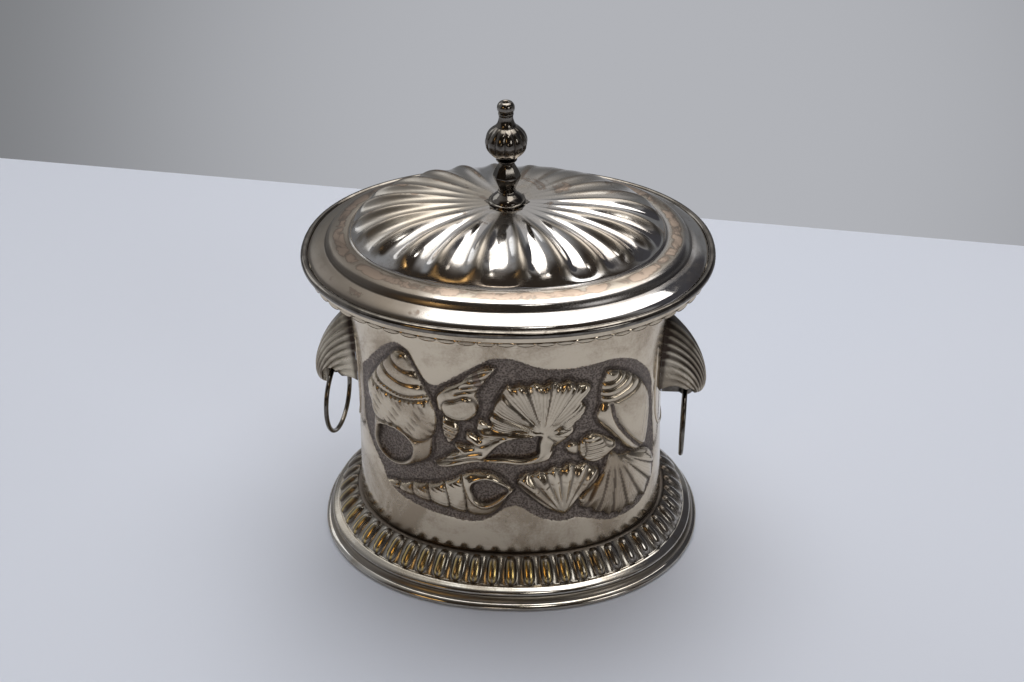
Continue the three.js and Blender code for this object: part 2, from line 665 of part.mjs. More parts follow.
// A bored boss on a short neck, soldered to the wall inside the shell
function ringEye(height) {
  const wall = wallX(0, height) + GAP;
  const middle = WAIST_HALF + EYE_REACH;
  const neckHeight = 0.6 * EYE_DIAMETER;
  const neck = new THREE.BoxGeometry(middle - wall, EYE_THICKNESS, neckHeight);
  neck.translate((middle + wall) / 2, 0, height);
  const boss = crossBore(EYE_DIAMETER / 2, EYE_THICKNESS, middle, height);
  const bore = crossBore(RING_WIRE / 2 + EYE_CLEARANCE, EYE_THICKNESS * 2, middle, height);
  return geometryOf(solidOf(boss).add(solidOf(neck)).subtract(solidOf(bore)));
}

// A wire ring that hangs from the middle of its eye, square to the box's long axis
function dropRing(degrees, height) {
  const ring = new THREE.TorusGeometry(RING_DIAMETER / 2, RING_WIRE / 2, 7, 32);
  ring.rotateY(Math.PI / 2);
  ring.translate(0, 0, -RING_DIAMETER / 2);
  ring.rotateZ(THREE.MathUtils.degToRad(degrees));
  return closedBody(ring.translate(WAIST_HALF + EYE_REACH, 0, height));
}

const box = new THREE.Group();

function addPiece(name, geometry, finish, parent = box) {
  const mesh = new THREE.Mesh(geometry, new THREE.MeshStandardMaterial(finish));
  mesh.name = name;
  parent.add(mesh);
}

addPiece('foot_base_wire', footBaseWire(), BRIGHT_SILVER);
addPiece('foot_shell', footShell(), BRIGHT_SILVER);
addPiece('foot_gadroon_border', footGadroons(), BRIGHT_SILVER);
addPiece('body_wall', bodyWall(), SATIN_SILVER);
addPiece('body_floor', bodyFloor(), SATIN_SILVER);
addPiece('mouth_rim', mouthRim(), SATIN_SILVER);
addPiece('scalloped_border', scallopedBorder(), DARK_SILVER);
addPiece('lid_shell', lidShell(), WORN_SILVER);
addPiece('lid_rim_wire', lidRimWire(), DARK_SILVER);
addPiece('lid_bezel', lidBezel(), SATIN_SILVER);
addPiece('finial_foot', finialFoot(), DARK_SILVER);
addPiece('finial_baluster', finialBaluster(), DARK_SILVER);
addPiece('finial_ball', finialBall(), DARK_SILVER);
addPiece('finial_tip', finialTip(), DARK_SILVER);
addPiece('finial_stud', finialStud(), SATIN_SILVER);
addPiece('finial_washer', finialWasher(), SATIN_SILVER);
addPiece('finial_nut', finialNut(), SATIN_SILVER);

// The right end's fittings are turned half round for the left end
for (const [end, turn, eyeRise, degrees] of [
  ['right', 0, RIGHT_EYE_RISE, RIGHT_RING_DEGREES],
  ['left', Math.PI, LEFT_EYE_RISE, LEFT_RING_DEGREES],
]) {
  const eyeHeight = LUG_BEAK_HEIGHT + eyeRise;
  const fittings = new THREE.Group();
  fittings.rotation.z = turn;
  box.add(fittings);
  addPiece(`${end}_shell_lug`, lugShell(eyeHeight), SATIN_SILVER, fittings);
  addPiece(`${end}_ring_eye`, ringEye(eyeHeight), SATIN_SILVER, fittings);
  addPiece(`${end}_ring`, dropRing(degrees, eyeHeight), DARK_SILVER, fittings);
}

export default box;
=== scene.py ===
"""Looks of an oval silver-plated biscuit box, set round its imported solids.

Lengths in the shapes below are millimetres; the meshes are stored in metres, with +Z up and the front
towards -Y.
"""

import math

import bpy
import numpy as np
from mathutils import Matrix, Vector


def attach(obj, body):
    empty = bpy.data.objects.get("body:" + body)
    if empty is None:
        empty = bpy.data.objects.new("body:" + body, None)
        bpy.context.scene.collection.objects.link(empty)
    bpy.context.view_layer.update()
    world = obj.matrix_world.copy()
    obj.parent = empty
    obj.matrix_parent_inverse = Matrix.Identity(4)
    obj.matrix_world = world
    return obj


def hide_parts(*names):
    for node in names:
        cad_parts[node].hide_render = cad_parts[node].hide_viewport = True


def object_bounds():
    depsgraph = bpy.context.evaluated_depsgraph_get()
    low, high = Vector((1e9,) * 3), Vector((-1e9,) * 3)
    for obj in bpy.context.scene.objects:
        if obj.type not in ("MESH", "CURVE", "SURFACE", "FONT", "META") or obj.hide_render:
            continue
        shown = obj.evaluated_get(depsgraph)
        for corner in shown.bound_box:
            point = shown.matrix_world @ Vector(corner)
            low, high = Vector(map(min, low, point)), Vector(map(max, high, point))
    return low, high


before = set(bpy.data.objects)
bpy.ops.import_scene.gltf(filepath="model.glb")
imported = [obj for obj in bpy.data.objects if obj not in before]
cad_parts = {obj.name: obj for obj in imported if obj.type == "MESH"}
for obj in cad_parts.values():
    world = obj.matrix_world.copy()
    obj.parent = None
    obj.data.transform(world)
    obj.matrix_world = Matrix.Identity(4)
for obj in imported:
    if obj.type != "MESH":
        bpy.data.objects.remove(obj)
cad_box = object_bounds()

# The base wire: a wire, a little flattened on top, bent to the foot's oval and soldered under its edge.
# It is silver-plated copper alloy like the rest of the box, polished and a little yellowed.
OVAL_POWER = 2.14
NARROWER = 20.0
DOME_HALF = 74.5
ROUND = 240
BASE_HALF = 99.98
PLATE_SILVER = (0.55, 0.52, 0.47)
CUT_BLACK_AND_PAINTED_SHADE = (0.050, 0.036, 0.028)
COPPER_WEAR = (0.38, 0.30, 0.24)
FILM_GREY_AND_PAINTED_SHADE = (0.31, 0.27, 0.215)
WEAR_EDGE = (0.14, 0.11, 0.09)
PAINTED_GOLD_REFLECTION = (0.90, 0.64, 0.20)
GROUND_OXIDE = (0.118, 0.097, 0.082)
GROUND_SPECK = (0.29, 0.24, 0.20)


def turns(count):
    """Even angles once round, in radians."""
    return np.arange(count) * 2 * np.pi / count


def oval(half, angle):
    """Point at an angle of an oval: half times cos, and (half less 20) times sin, to the power 2/2.14.
    Inside the dome's edge the ovals keep one shape instead."""
    across = np.where(half > DOME_HALF, half - NARROWER, half * (1 - NARROWER / DOME_HALF))
    c, s = np.cos(angle), np.sin(angle)
    fill = 2 / OVAL_POWER
    return half * np.sign(c) * np.abs(c) ** fill, across * np.sign(s) * np.abs(s) ** fill


def smooth_line(points, steps=6):
    """Catmull-Rom line through points: each span is a cubic whose end slopes follow the two neighbours."""
    p = np.asarray(points, float)
    p = np.vstack([2 * p[0] - p[1], p, 2 * p[-1] - p[-2]])
    t = (np.arange(steps) / steps)[:, None]
    a, b, c, d = p[:-3, None], p[1:-2, None], p[2:-1, None], p[3:, None]
    spans = 0.5 * (2 * b + (c - a) * t + (2 * a - 5 * b + 4 * c - d) * t**2 + (3 * b - a - 3 * c + d) * t**3)
    return np.vstack([spans.reshape(-1, p.shape[1]), p[-2]])


def grid_faces(rows, columns, rows_closed=True, columns_closed=True, first=0):
    """Quads of a grid whose point (row, column) is number row * columns + column."""
    r, c = np.meshgrid(
        np.arange(rows - (not rows_closed)), np.arange(columns - (not columns_closed)), indexing="ij"
    )
    r2, c2 = (r + 1) % rows, (c + 1) % columns
    quads = np.stack([r * columns + c, r * columns + c2, r2 * columns + c2, r2 * columns + c], -1)
    return quads.reshape(-1, 4) + first


def oval_ring(half, height, angle):
    """Shape of a closed section carried round the ovals through the angles. half and height hold one row
    for each point of the section, and one column or all columns."""
    half = np.broadcast_to(half, (len(half), len(angle)))
    height = np.broadcast_to(height, half.shape)
    x, y = oval(half, angle)
    return np.stack([x, y, height], -1), [grid_faces(*half.shape)]


def carried_round(section):
    """Shape of a closed section of (half, height) points carried once round at even angles."""
    return oval_ring(section[:, :1], section[:, 1:], turns(ROUND))


def make_piece(name, shape, material, body, nodes=(), masks=None, crease=40.0):
    """A closed mesh piece from a shape: its points in millimetres and its sets of faces, which are turned
    so that the signed volume is positive. Each mask is stored as an attribute of the points."""
    grid = shape[0].shape[:-1]
    points, face_sets = shape[0].reshape(-1, 3), shape[1]
    volume = 0.0
    for faces in face_sets:
        a, b, c = points[faces[:, 0]], points[faces[:, 1]], points[faces[:, 2]]
        volume += np.einsum("ij,ij->", a, np.cross(b, c))
        if faces.shape[1] == 4:
            volume += np.einsum("ij,ij->", a, np.cross(c, points[faces[:, 3]]))
    if volume < 0:
        face_sets = [faces[:, ::-1] for faces in face_sets]
    corners = np.concatenate([faces.ravel() for faces in face_sets])
    sizes = np.concatenate([np.full(len(faces), faces.shape[1]) for faces in face_sets])
    mesh = bpy.data.meshes.new(name)
    mesh.vertices.add(len(points))
    mesh.vertices.foreach_set("co", (points / 1000).astype(np.float32).ravel())
    mesh.loops.add(len(corners))
    mesh.loops.foreach_set("vertex_index", corners.astype(np.int32))
    mesh.polygons.add(len(sizes))
    mesh.polygons.foreach_set("loop_start", np.concatenate([[0], np.cumsum(sizes)[:-1]]).astype(np.int32))
    mesh.update(calc_edges=True)
    mesh.shade_smooth()
    mesh.set_sharp_from_angle(angle=math.radians(crease))
    for mask, values in (masks or {}).items():
        attribute = mesh.attributes.new(mask, "FLOAT", "POINT")
        attribute.data.foreach_set("value", np.broadcast_to(values, grid).astype(np.float32).ravel())
    mesh.materials.append(material)
    piece = bpy.data.objects.new(name, mesh)
    bpy.context.scene.collection.objects.link(piece)
    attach(piece, body)
    if nodes:
        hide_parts(*nodes)


def add_node(tree, kind, values=None, **settings):
    """A shader node with its settings and inputs. An input is a number, a vector, a colour as a tuple of
    three, or the socket that feeds it."""
    node = tree.nodes.new("ShaderNode" + kind)
    for name, setting in settings.items():
        setattr(node, name, setting)
    for socket, value in (values or {}).items():
        if isinstance(value, bpy.types.NodeSocket):
            tree.links.new(value, node.inputs[socket])
        else:
            node.inputs[socket].default_value = (*value, 1) if isinstance(value, tuple) else value
    return node


def worked_out(tree, operation, *values, clamp=False):
    """Result of a Math node on its values."""
    return add_node(tree, "Math", dict(enumerate(values)), operation=operation, use_clamp=clamp).outputs[0]


def smooth_rise(tree, value, low, high):
    """Smooth step of a socket's value, from 0 at low to 1 at high."""
    ends = {"Value": value, "From Min": low, "From Max": high}
    return add_node(tree, "MapRange", ends, interpolation_type="SMOOTHSTEP").outputs["Result"]


def mix_colors(tree, share, below, above):
    """One colour laid over another by share; inputs 6 and 7 and output 2 are a Mix node's colours."""
    return add_node(tree, "Mix", {"Factor": share, 6: below, 7: above}, data_type="RGBA").outputs[2]


def mix_values(tree, share, below, above):
    """One value laid over another by share; inputs 2 and 3 and output 0 are a Mix node's values."""
    return add_node(tree, "Mix", {"Factor": share, 2: below, 3: above}).outputs[0]


def node_group(name, inputs, outputs):
    """A node group with inputs and outputs of colours ("Color") and values ("Float"), by name."""
    group = bpy.data.node_groups.new(name, "ShaderNodeTree")
    for in_out, sockets in (("INPUT", inputs), ("OUTPUT", outputs)):
        for label, kind in sockets.items():
            group.interface.new_socket(label, in_out=in_out, socket_type="NodeSocket" + kind)
    return group, group.nodes.new("NodeGroupInput").outputs, group.nodes.new("NodeGroupOutput").inputs


def patina_group():
    """Node group: mixes bare silver with tarnish by two sizes of cloudy noise, and gives a roughness
    that rises with the tarnish, and fine specks as a height. Patch scale counts patches in a metre."""
    group, given, made = node_group(
        "Plate patina",
        {
            "Silver": "Color", "Tarnish": "Color", "Share": "Float", "Patch scale": "Float",
            "Smooth": "Float", "Dull": "Float",
        },
        {"Color": "Color", "Roughness": "Float", "Height": "Float"},
    )
    link = group.links.new
    place = add_node(group, "TexCoord").outputs["Object"]
    clouds = add_node(group, "TexNoise", {
        "Vector": place, "Scale": given["Patch scale"], "Detail": 5, "Roughness": 0.62, "Distortion": 0.6,
    }).outputs["Fac"]
    specks = add_node(group, "TexNoise", {"Vector": place, "Scale": 900, "Detail": 3}).outputs["Fac"]
    edge = smooth_rise(group, worked_out(group, "MULTIPLY_ADD", specks, 0.18, clouds), 0.50, 0.74)
    share = worked_out(group, "MULTIPLY", edge, given["Share"], clamp=True)
    link(mix_colors(group, share, given["Silver"], given["Tarnish"]), made["Color"])
    link(mix_values(group, share, given["Smooth"], given["Dull"]), made["Roughness"])
    link(specks, made["Height"])
    return group


PATINA = patina_group()


def broken_mask_group():
    """Node group: breaks a mask into patches. Noise is added to the mask and the sum is cut by a steep
    smooth step, so patches grow as the mask rises; Edge starts a little outside each patch."""
    group, given, made = node_group(
        "Broken mask",
        {"Mask": "Float", "Scale": "Float", "Detail": "Float"},
        {"Inside": "Float", "Edge": "Float"},
    )
    noise = add_node(group, "TexNoise", {
        "Vector": add_node(group, "TexCoord").outputs["Object"], "Scale": given["Scale"],
        "Detail": given["Detail"], "Roughness": 0.65, "Distortion": 0.8,
    }).outputs["Fac"]
    total = worked_out(group, "ADD", noise, given["Mask"])
    group.links.new(smooth_rise(group, total, 0.92, 1.02), made["Inside"])
    group.links.new(smooth_rise(group, total, 0.86, 0.98), made["Edge"])
    return group


BROKEN_MASK = broken_mask_group()


def plate_material(name, silver, tarnish, share, patch, smooth, dull, dents):
    """Aged silver plate: patina over the whole surface, a painted gold reflection and a dull film that is
    also painted shade, copper in broken patches where it is worn, dark punched ground, and black in the cut
    lines and as painted shade, each by its own mask."""
    material = bpy.data.materials.new(name)
    material.use_nodes = True
    tree = material.node_tree
    patina = add_node(tree, "Group", {
        "Silver": silver, "Tarnish": tarnish, "Share": share, "Patch scale": patch,
        "Smooth": smooth, "Dull": dull,
    }, node_tree=PATINA).outputs

    def mask(name):
        return add_node(tree, "Attribute", attribute_name=name).outputs["Fac"]

    def broken(name, scale, detail):
        values = {"Mask": mask(name), "Scale": scale, "Detail": detail}
        return add_node(tree, "Group", values, node_tree=BROKEN_MASK).outputs

    patches, dots = broken("wear", 75, 6), broken("matt", 1300, 1)
    place = add_node(tree, "TexCoord").outputs["Object"]
    punch = add_node(tree, "TexVoronoi", {"Scale": 1050, "Vector": place}).outputs["Distance"]
    speck = add_node(tree, "MapRange", {"Value": punch, "From Min": 0.30, "From Max": 0.75}).outputs["Result"]
    ground = mix_colors(tree, speck, GROUND_OXIDE, GROUND_SPECK)
    color, rough = patina["Color"], patina["Roughness"]
    for where, tint, finish in (
        (mask("painted_gold"), PAINTED_GOLD_REFLECTION, 0.24),
        (mask("dull"), FILM_GREY_AND_PAINTED_SHADE, 0.36),
        (patches["Edge"], WEAR_EDGE, 0.30),
        (patches["Inside"], COPPER_WEAR, 0.40),
        (dots["Inside"], ground, 0.46),
        (mask("cut_and_painted_shade"), CUT_BLACK_AND_PAINTED_SHADE, 0.36),
    ):
        color, rough = mix_colors(tree, where, color, tint), mix_values(tree, where, rough, finish)
    pits = worked_out(tree, "MULTIPLY", punch, dots["Inside"])
    height = worked_out(tree, "MULTIPLY_ADD", patina["Height"], dents, pits)
    bump = add_node(tree, "Bump", {"Strength": 0.7, "Distance": 0.0004, "Height": height}).outputs["Normal"]
    shader = tree.nodes["Principled BSDF"].inputs
    shader["Metallic"].default_value = 1.0
    for socket, value in (("Base Color", color), ("Roughness", rough), ("Normal", bump)):
        tree.links.new(value, shader[socket])
    return material


bright_plate = plate_material("bright_plate", PLATE_SILVER, (0.36, 0.31, 0.25), 0.8, 55, 0.06, 0.20, 0.02)
roll = [
    (97.0, 3.2), (97.15, 3.5), (97.9, 3.5), (98.8, 3.1), (99.6, 2.5), (100.0, 1.7), (99.85, 0.7),
    (99.1, 0.06), (98.1, 0.0), (97.3, 0.25), (97.0, 1.0), (96.95, 2.1),
]
section = smooth_line(roll[-2:] + roll + roll[:2], 4)[8:-9]
section = np.stack([np.minimum(section[:, 0], BASE_HALF), np.maximum(section[:, 1], 0.0)], -1)
make_piece("foot_base_roll", carried_round(section), bright_plate, "box", ["foot_base_wire"])

# The spreading foot: one raised and spun sheet, hollow under the box, with a bright half-round moulding
# below the gadroons and a narrow cove above the base wire.
SHEET = 1.1
COVE_HEIGHT = 6.4
SHELF_HEIGHT = 20.0


def step(x, low, high):
    """Smooth step from 0 at low to 1 at high: 3t squared less 2t cubed."""
    t = np.clip((x - low) / (high - low), 0, 1)
    return t * t * (3 - 2 * t)


def on_side(angle, first, last, fade):
    """1 for angles in degrees between first and last, falling to 0 over fade degrees on either side."""
    turned = np.mod(np.degrees(angle) - first + 180, 360) - 180
    return step(turned, -fade, 0) * (1 - step(turned, last - first, last - first + fade))


foot_run = np.vstack([
    smooth_line([(98.0, 3.62), (98.0, 4.3), (97.5, 5.2), (96.7, 6.0), (96.15, 6.35)]),
    smooth_line([
        (95.85, 6.45), (96.3, 7.1), (96.35, 7.8), (96.1, 8.4), (95.4, 8.95), (94.2, 9.55), (93.1, 10.05),
        (92.2, 10.2),
    ]),
    smooth_line([(91.7, 10.4), (87.1, 15.8), (81.9, 20.3)], 4),
    smooth_line([(81.5, 20.55), (80.9, 20.68), (79.5, 20.7), (67.8, 20.7)], 3),
])
foot_slope = np.gradient(foot_run, axis=0)
foot_slope /= np.linalg.norm(foot_slope, axis=1)[:, None]
foot_back = foot_run + SHEET * np.stack([-foot_slope[:, 1], foot_slope[:, 0]], -1)
kept = np.unique(np.append(np.arange(0, len(foot_run), 4), len(foot_run) - 1))
section = np.vstack([foot_run, foot_back[kept[::-1]]])
out, up = foot_run.T
dark = np.zeros((len(section), 1))
# Dark line in the cove, painted shade on the shelf under the wall, and darker below the cove.
dark[:len(foot_run), 0] = np.exp(-(((out - 95.9) / 0.25) ** 2) - ((up - COVE_HEIGHT) / 0.3) ** 2)
dark[:len(foot_run), 0] += 0.85 * (up > SHELF_HEIGHT) + 0.35 * (up < COVE_HEIGHT)
film_and_painted_shade = np.zeros((len(section), 1))
film_and_painted_shade[:len(foot_run), 0] = 0.7 * (up < COVE_HEIGHT)
# Dull film below the cove, and painted shade on the left.
film_and_painted_shade = np.maximum(film_and_painted_shade, 0.55 * on_side(turns(ROUND), 160, 244, 16))
make_piece(
    "spread_foot", carried_round(section), bright_plate, "box", ["foot_shell"],
    {"cut_and_painted_shade": dark, "dull": film_and_painted_shade},
)

# The gadroon border: 56 rounded lobes side by side on the foot's slope, chased deep between them. Each has a
# painted highlight streak along its top, painted gold as a reflection at the front; the rest of each lobe and
# its upper end are painted dark as shade, the channels have a grey film, and painted shade greys the left.
GADROONS = 56
GADROON_FOOT = np.array([91.9, 10.3])
GADROON_HEAD = np.array([81.5, 20.6])
GADROON_BULGE = 0.8
GADROON_PROUD = 2.0
BAR_SHARE = 0.62
CHANNEL_RISE = 0.30


def lengths_along(half, angle):
    """Length along an oval from its first angle to each other one."""
    x, y = oval(np.full(angle.shape, half), angle)
    return np.concatenate([[0], np.cumsum(np.hypot(np.diff(x), np.diff(y)))])


def even_angles(half, count):
    """Angles of points that stand evenly along an oval: its length is summed and read back."""
    angle = np.linspace(0, 2 * np.pi, 7201)
    length = lengths_along(half, angle)
    return np.interp(np.arange(count) / count * length[-1], length, angle)


def across_each(count, points, start=0.0):
    """Place across each of a row of like lobes, from -1 at one side to 1 at the other."""
    return np.mod(np.arange(count * points) / points + start, 1) * 2 - 1


across = np.abs(across_each(GADROONS, points=20))
along = 0.5 - 0.5 * np.cos(np.linspace(0, np.pi, 18))
lobe_angle = even_angles(GADROON_FOOT[0] - 3, across.size)
slope = GADROON_HEAD - GADROON_FOOT
outward = np.array([slope[1], -slope[0]]) / np.hypot(*slope)
rim = (across[None, :] / BAR_SHARE) ** 2 + np.abs(2 * along[:, None] - 1) ** 4
channel = CHANNEL_RISE * np.clip((across[None, :] - 1) / (1 - BAR_SHARE), -1, 0) ** 2
lobes = GADROON_PROUD * np.sqrt(np.clip(1 - rim, 0, 1))
bulge = GADROON_BULGE * 4 * (along * (1 - along))[:, None]
proud = np.vstack([0.05 + channel + lobes + bulge, np.full((2, across.size), -0.3)])
place = np.append(0.005 + 0.975 * along, [0.98, 0.0])[:, None]
gadroons = oval_ring(
    GADROON_FOOT[0] + slope[0] * place + outward[0] * proud,
    GADROON_FOOT[1] + slope[1] * place + outward[1] * proud,
    lobe_angle,
)
rim = np.vstack([rim, rim[-1:], rim[:1]])
# Painted highlight: a streak along each lobe, painted gold as a reflection at the front.
painted_highlight_streak = np.exp(-(((across / BAR_SHARE - 0.40) / 0.20) ** 2)) * (rim < 0.9) * (1 - step(place, 0.70, 0.86))
# Chased line between the lobes, with painted shade over each lobe outside its streak and at its upper end.
groove_and_painted_shade = np.exp(-(((rim - 1) / np.where(rim < 1, 0.50, 0.14)) ** 2))
groove_and_painted_shade = np.clip(np.maximum(groove_and_painted_shade, 0.75 * (rim < 1) * (1 - painted_highlight_streak)) + 0.9 * step(place, 0.88, 0.97), 0, 1)
# Grey film on the channels, and painted shade on the left.
film_and_painted_shade = np.minimum(0.50 * (rim > 1) + 0.55 * on_side(lobe_angle, 150, 192, 14), 0.85)
make_piece(
    "gadroon_border", gadroons, bright_plate, "box", ["foot_gadroon_border"],
    {"cut_and_painted_shade": 0.85 * groove_and_painted_shade, "painted_gold": painted_highlight_streak * on_side(lobe_angle, 190, 290, 20), "dull": film_and_painted_shade},
)

# The body wall: one sheet raised to an upright oval, hardly waisted, with its lip turned out under the rim.
# Its front and back hold the chased friezes, which are made next and let into it.
WAIST_HALF = 76.9
WAIST_HEIGHT = 92.0
FLARE_BASE = 21.0
FOOT_FLARE = 2.9
TOP_FLARE = 2.1
LIP_FLARE = 10.0
BODY_BASE = 20.85
LIP_TOP = 156.9
TRACED_HALF = 77.6
FRIEZE_SPAN = (-93.0, 95.0)
FRIEZE_RISE = (27.0, 144.0)
SINK = 1.0


def wall_half(z):
    """Half length of the wall's outside: 76.9 at the waist, 2.9 more at the foot by a power of 1.5, and at
    the top 2.1 more by a square and 10 more by a power of 24, which is the turned lip."""
    down = np.clip((WAIST_HEIGHT - z) / (WAIST_HEIGHT - FLARE_BASE), 0, None)
    up = np.clip((z - WAIST_HEIGHT) / (LIP_TOP - WAIST_HEIGHT), 0, None)
    return WAIST_HALF + FOOT_FLARE * down**1.5 + TOP_FLARE * up**2 + LIP_FLARE * up**24


# Lengths along the front from end to end, counted from its middle.
trace_angle = np.linspace(-np.pi, 0, 4001)
trace_length = lengths_along(TRACED_HALF, trace_angle)
trace_length -= np.interp(-np.pi / 2, trace_angle, trace_length)


def on_wall(s, z, proud):
    """Point of the front at s along the wall from the middle, z up, and proud outwards along the normal of
    the oval there."""
    angle = np.interp(s, trace_length, trace_angle)
    half = wall_half(z)
    x, y = oval(half, angle)
    power = OVAL_POWER - 1
    nx = np.sign(x) * np.abs(x / half) ** power / half
    ny = np.sign(y) * np.abs(y / (half - NARROWER)) ** power / (half - NARROWER)
    size = np.hypot(nx, ny)
    return np.stack([x + proud * nx / size, y + proud * ny / size, z + 0 * x], -1)


satin_plate = plate_material(
    "satin_plate", (0.67, 0.575, 0.44), (0.40, 0.32, 0.23), 0.9, 30, 0.14, 0.32, 0.03
)
heights = np.concatenate([
    np.linspace(BODY_BASE, 27, 5),
    np.linspace(28.5, 142.5, 58),
    np.linspace(144, 152, 8),
    152 + 4.9 * (1 - np.linspace(1, 0, 14)[1:] ** 1.8),
])
# A quarter's angles at even lengths, mirrored to the other three.
quarter = np.interp(np.linspace(0, trace_length[-1], 76)[:-1], trace_length, trace_angle)
wall_angle = np.concatenate([quarter, -quarter[::-1], quarter + np.pi, np.pi - quarter[::-1]])
wall_angle = np.unique(np.round(np.mod(wall_angle, 2 * np.pi), 9))
front_angle = np.where(wall_angle > np.pi, wall_angle - 2 * np.pi, wall_angle - np.pi)
s_of = np.interp(front_angle, trace_angle, trace_length)
edge_in = np.minimum(
    np.minimum(s_of - FRIEZE_SPAN[0], FRIEZE_SPAN[1] - s_of)[None, :],
    np.minimum(heights - FRIEZE_RISE[0], FRIEZE_RISE[1] - heights)[:, None],
)
outer = wall_half(heights)[:, None] - SINK * step(edge_in, 1.5, 5.0)
inner_heights = np.array([BODY_BASE, 30, 60, 92, 120, 140, 150, 154, 156, LIP_TOP + 0.2, LIP_TOP + 1.0])
inner = wall_half(np.minimum(inner_heights - 0.9, LIP_TOP)) - np.array([SHEET] * 9 + [0.9, 0.0])
half = np.vstack([outer, np.broadcast_to(inner[::-1, None], (inner.size, wall_angle.size))])
level = np.concatenate([heights, inner_heights[::-1]])[:, None]
dark = np.zeros(level.shape)
# Painted shadow in a band where the wall meets the foot, and darker on the lip under the rim.
dark[:len(heights), 0] = 0.75 * np.exp(-(((heights - BODY_BASE) / 1.3) ** 2))
dark[:len(heights), 0] += 0.4 * step(heights, 153.5, 156.5)
make_piece(
    "body_wall_sheet", oval_ring(half, level, wall_angle), satin_plate, "box", ["body_wall"],
    {"cut_and_painted_shade": dark},
)

# The friezes: on the front and back the same sheet is chased from both sides with sea shells, whose ground
# is beaten down, matted with a fine punch and blackened. Each is one relief over the wall, in its own grid.
GROUND = -0.55
MARGIN = 0.04
FRIEZE_BACK = -0.95
BACK_EVERY = 13
WHELK = [
    (-49, 134), (-45, 133), (-42, 127), (-39, 121), (-36.5, 115), (-34, 110), (-32, 104), (-31, 98),
    (-32, 91), (-34, 86), (-34, 81), (-35, 76), (-38, 72), (-44, 68), (-50, 65), (-56, 64), (-61, 65),
    (-66, 68), (-69, 73), (-70, 79), (-70, 86), (-71, 94), (-73, 100), (-72, 107), (-67, 115), (-61, 123),
    (-57, 127), (-53, 132),
]
WHELK_MOUTH = [
    (-63, 86), (-57, 88), (-52, 88), (-47, 86), (-43, 82), (-43, 77), (-45, 72), (-49, 68), (-54, 66),
    (-59, 66), (-64, 69), (-66, 74), (-65, 80),
]
OLIVE = [
    (-2, 132), (-6, 133), (-10, 131), (-14, 128), (-19, 123), (-24, 120), (-28, 117), (-31, 113),
    (-31, 109), (-30, 105), (-26, 102), (-22, 100), (-17, 100), (-13, 102), (-10, 107), (-10, 112),
    (-11, 117), (-8, 122), (-5, 127),
]
OLIVE_BODY = [
    (-28, 109), (-26, 112), (-21, 114), (-17, 116), (-13, 115), (-11, 111), (-11, 106), (-15, 102),
    (-18, 101), (-22, 101), (-27, 103),
]
CURL = [(-28, 102), (-25, 100), (-22, 99), (-20, 96), (-21, 91), (-25, 86), (-28, 90), (-29, 96)]
MUREX = [
    (-34, 72), (-29, 76), (-25, 80), (-21, 82), (-23, 86), (-14, 86.5), (-17.5, 90), (-16, 95), (-10, 91.5),
    (-12, 97), (-10, 102.5), (-4.5, 99), (-6, 104), (-4, 108), (-3, 112), (-1, 116), (3, 123), (6, 122),
    (9, 124), (13, 122.5), (16, 124.5), (20, 123), (24, 125), (28, 123), (32, 124.5), (36, 122), (41, 121),
    (43, 118), (41, 114), (39, 111), (41, 107), (39, 102), (35, 98), (35, 94), (30, 89), (26, 86), (25, 82),
    (23, 79), (17, 77), (8, 76.5), (0, 77.5), (-7, 78), (-14, 76.5), (-20, 74), (-26, 71.5),
]
MUREX_MOUTH = [
    (-9, 79.5), (-6, 84), (-3, 88), (1, 91.5), (6, 93.8), (12, 94.8), (19, 95), (18.5, 89), (18, 83.5),
    (14, 81), (9, 80.2), (1, 80.6), (-5, 79.8),
]
TURBAN = [
    (51, 125), (56, 124), (63, 120), (69, 115), (74, 109), (78, 101), (79.5, 91), (79, 82), (77.5, 74),
    (74, 69), (69, 70), (64, 74), (59, 80), (53, 88), (48, 94), (46, 99), (47, 103), (48.5, 106), (48, 109),
    (48, 115), (49.5, 121),
]
SNAIL = [
    (38, 86), (41, 89), (45, 90), (49, 88), (53, 85), (57, 82), (57.5, 78), (54, 75.5), (49, 73),
    (45, 72.5), (40, 75), (37.5, 80),
]
SNAIL_TIP = [(31, 85), (34, 87), (37, 86), (39, 83), (37, 79.5), (34, 80), (31.5, 82)]
TURRET = [
    (-62, 50.5), (-58, 52), (-52, 53), (-46, 56), (-38, 58), (-30, 61), (-23, 65), (-19, 68), (-15, 70),
    (-7, 71), (-2, 69), (3, 64), (6, 61), (3, 57), (0, 51), (-4, 46), (-9, 44), (-15, 44), (-22, 45),
    (-30, 46), (-38, 47), (-46, 47.5), (-53, 48), (-58, 48.5),
]
TURRET_MOUTH = [
    (-15, 62), (-13, 66), (-7, 68), (-1, 65.5), (4, 61), (-2, 55.5), (-8, 52.5), (-12, 54), (-14.5, 58),
]
SCALLOP = [
    (7, 65), (8, 68), (12, 71), (14.5, 70), (18, 72), (21, 71), (25, 74), (28.5, 72.5), (33, 75),
    (36.5, 73), (41, 73.5), (44, 70.5), (48, 68.5), (48, 63), (44, 58), (39, 54.5), (36, 50), (33, 46),
    (30, 44), (25, 46), (19, 51), (14, 56), (9, 61),
]
FAN = [
    (55, 76), (60, 72), (67, 71), (76, 68), (83, 62), (84.5, 53), (82, 46), (78.5, 42), (76, 38.5),
    (71.5, 38.5), (68, 35.5), (64, 37), (60, 34.5), (57, 37), (53, 36.5), (50, 40), (46, 40.5),
    (43.5, 44.5), (39, 46), (37, 52), (40, 55), (45, 59), (50, 64), (52, 70),
]
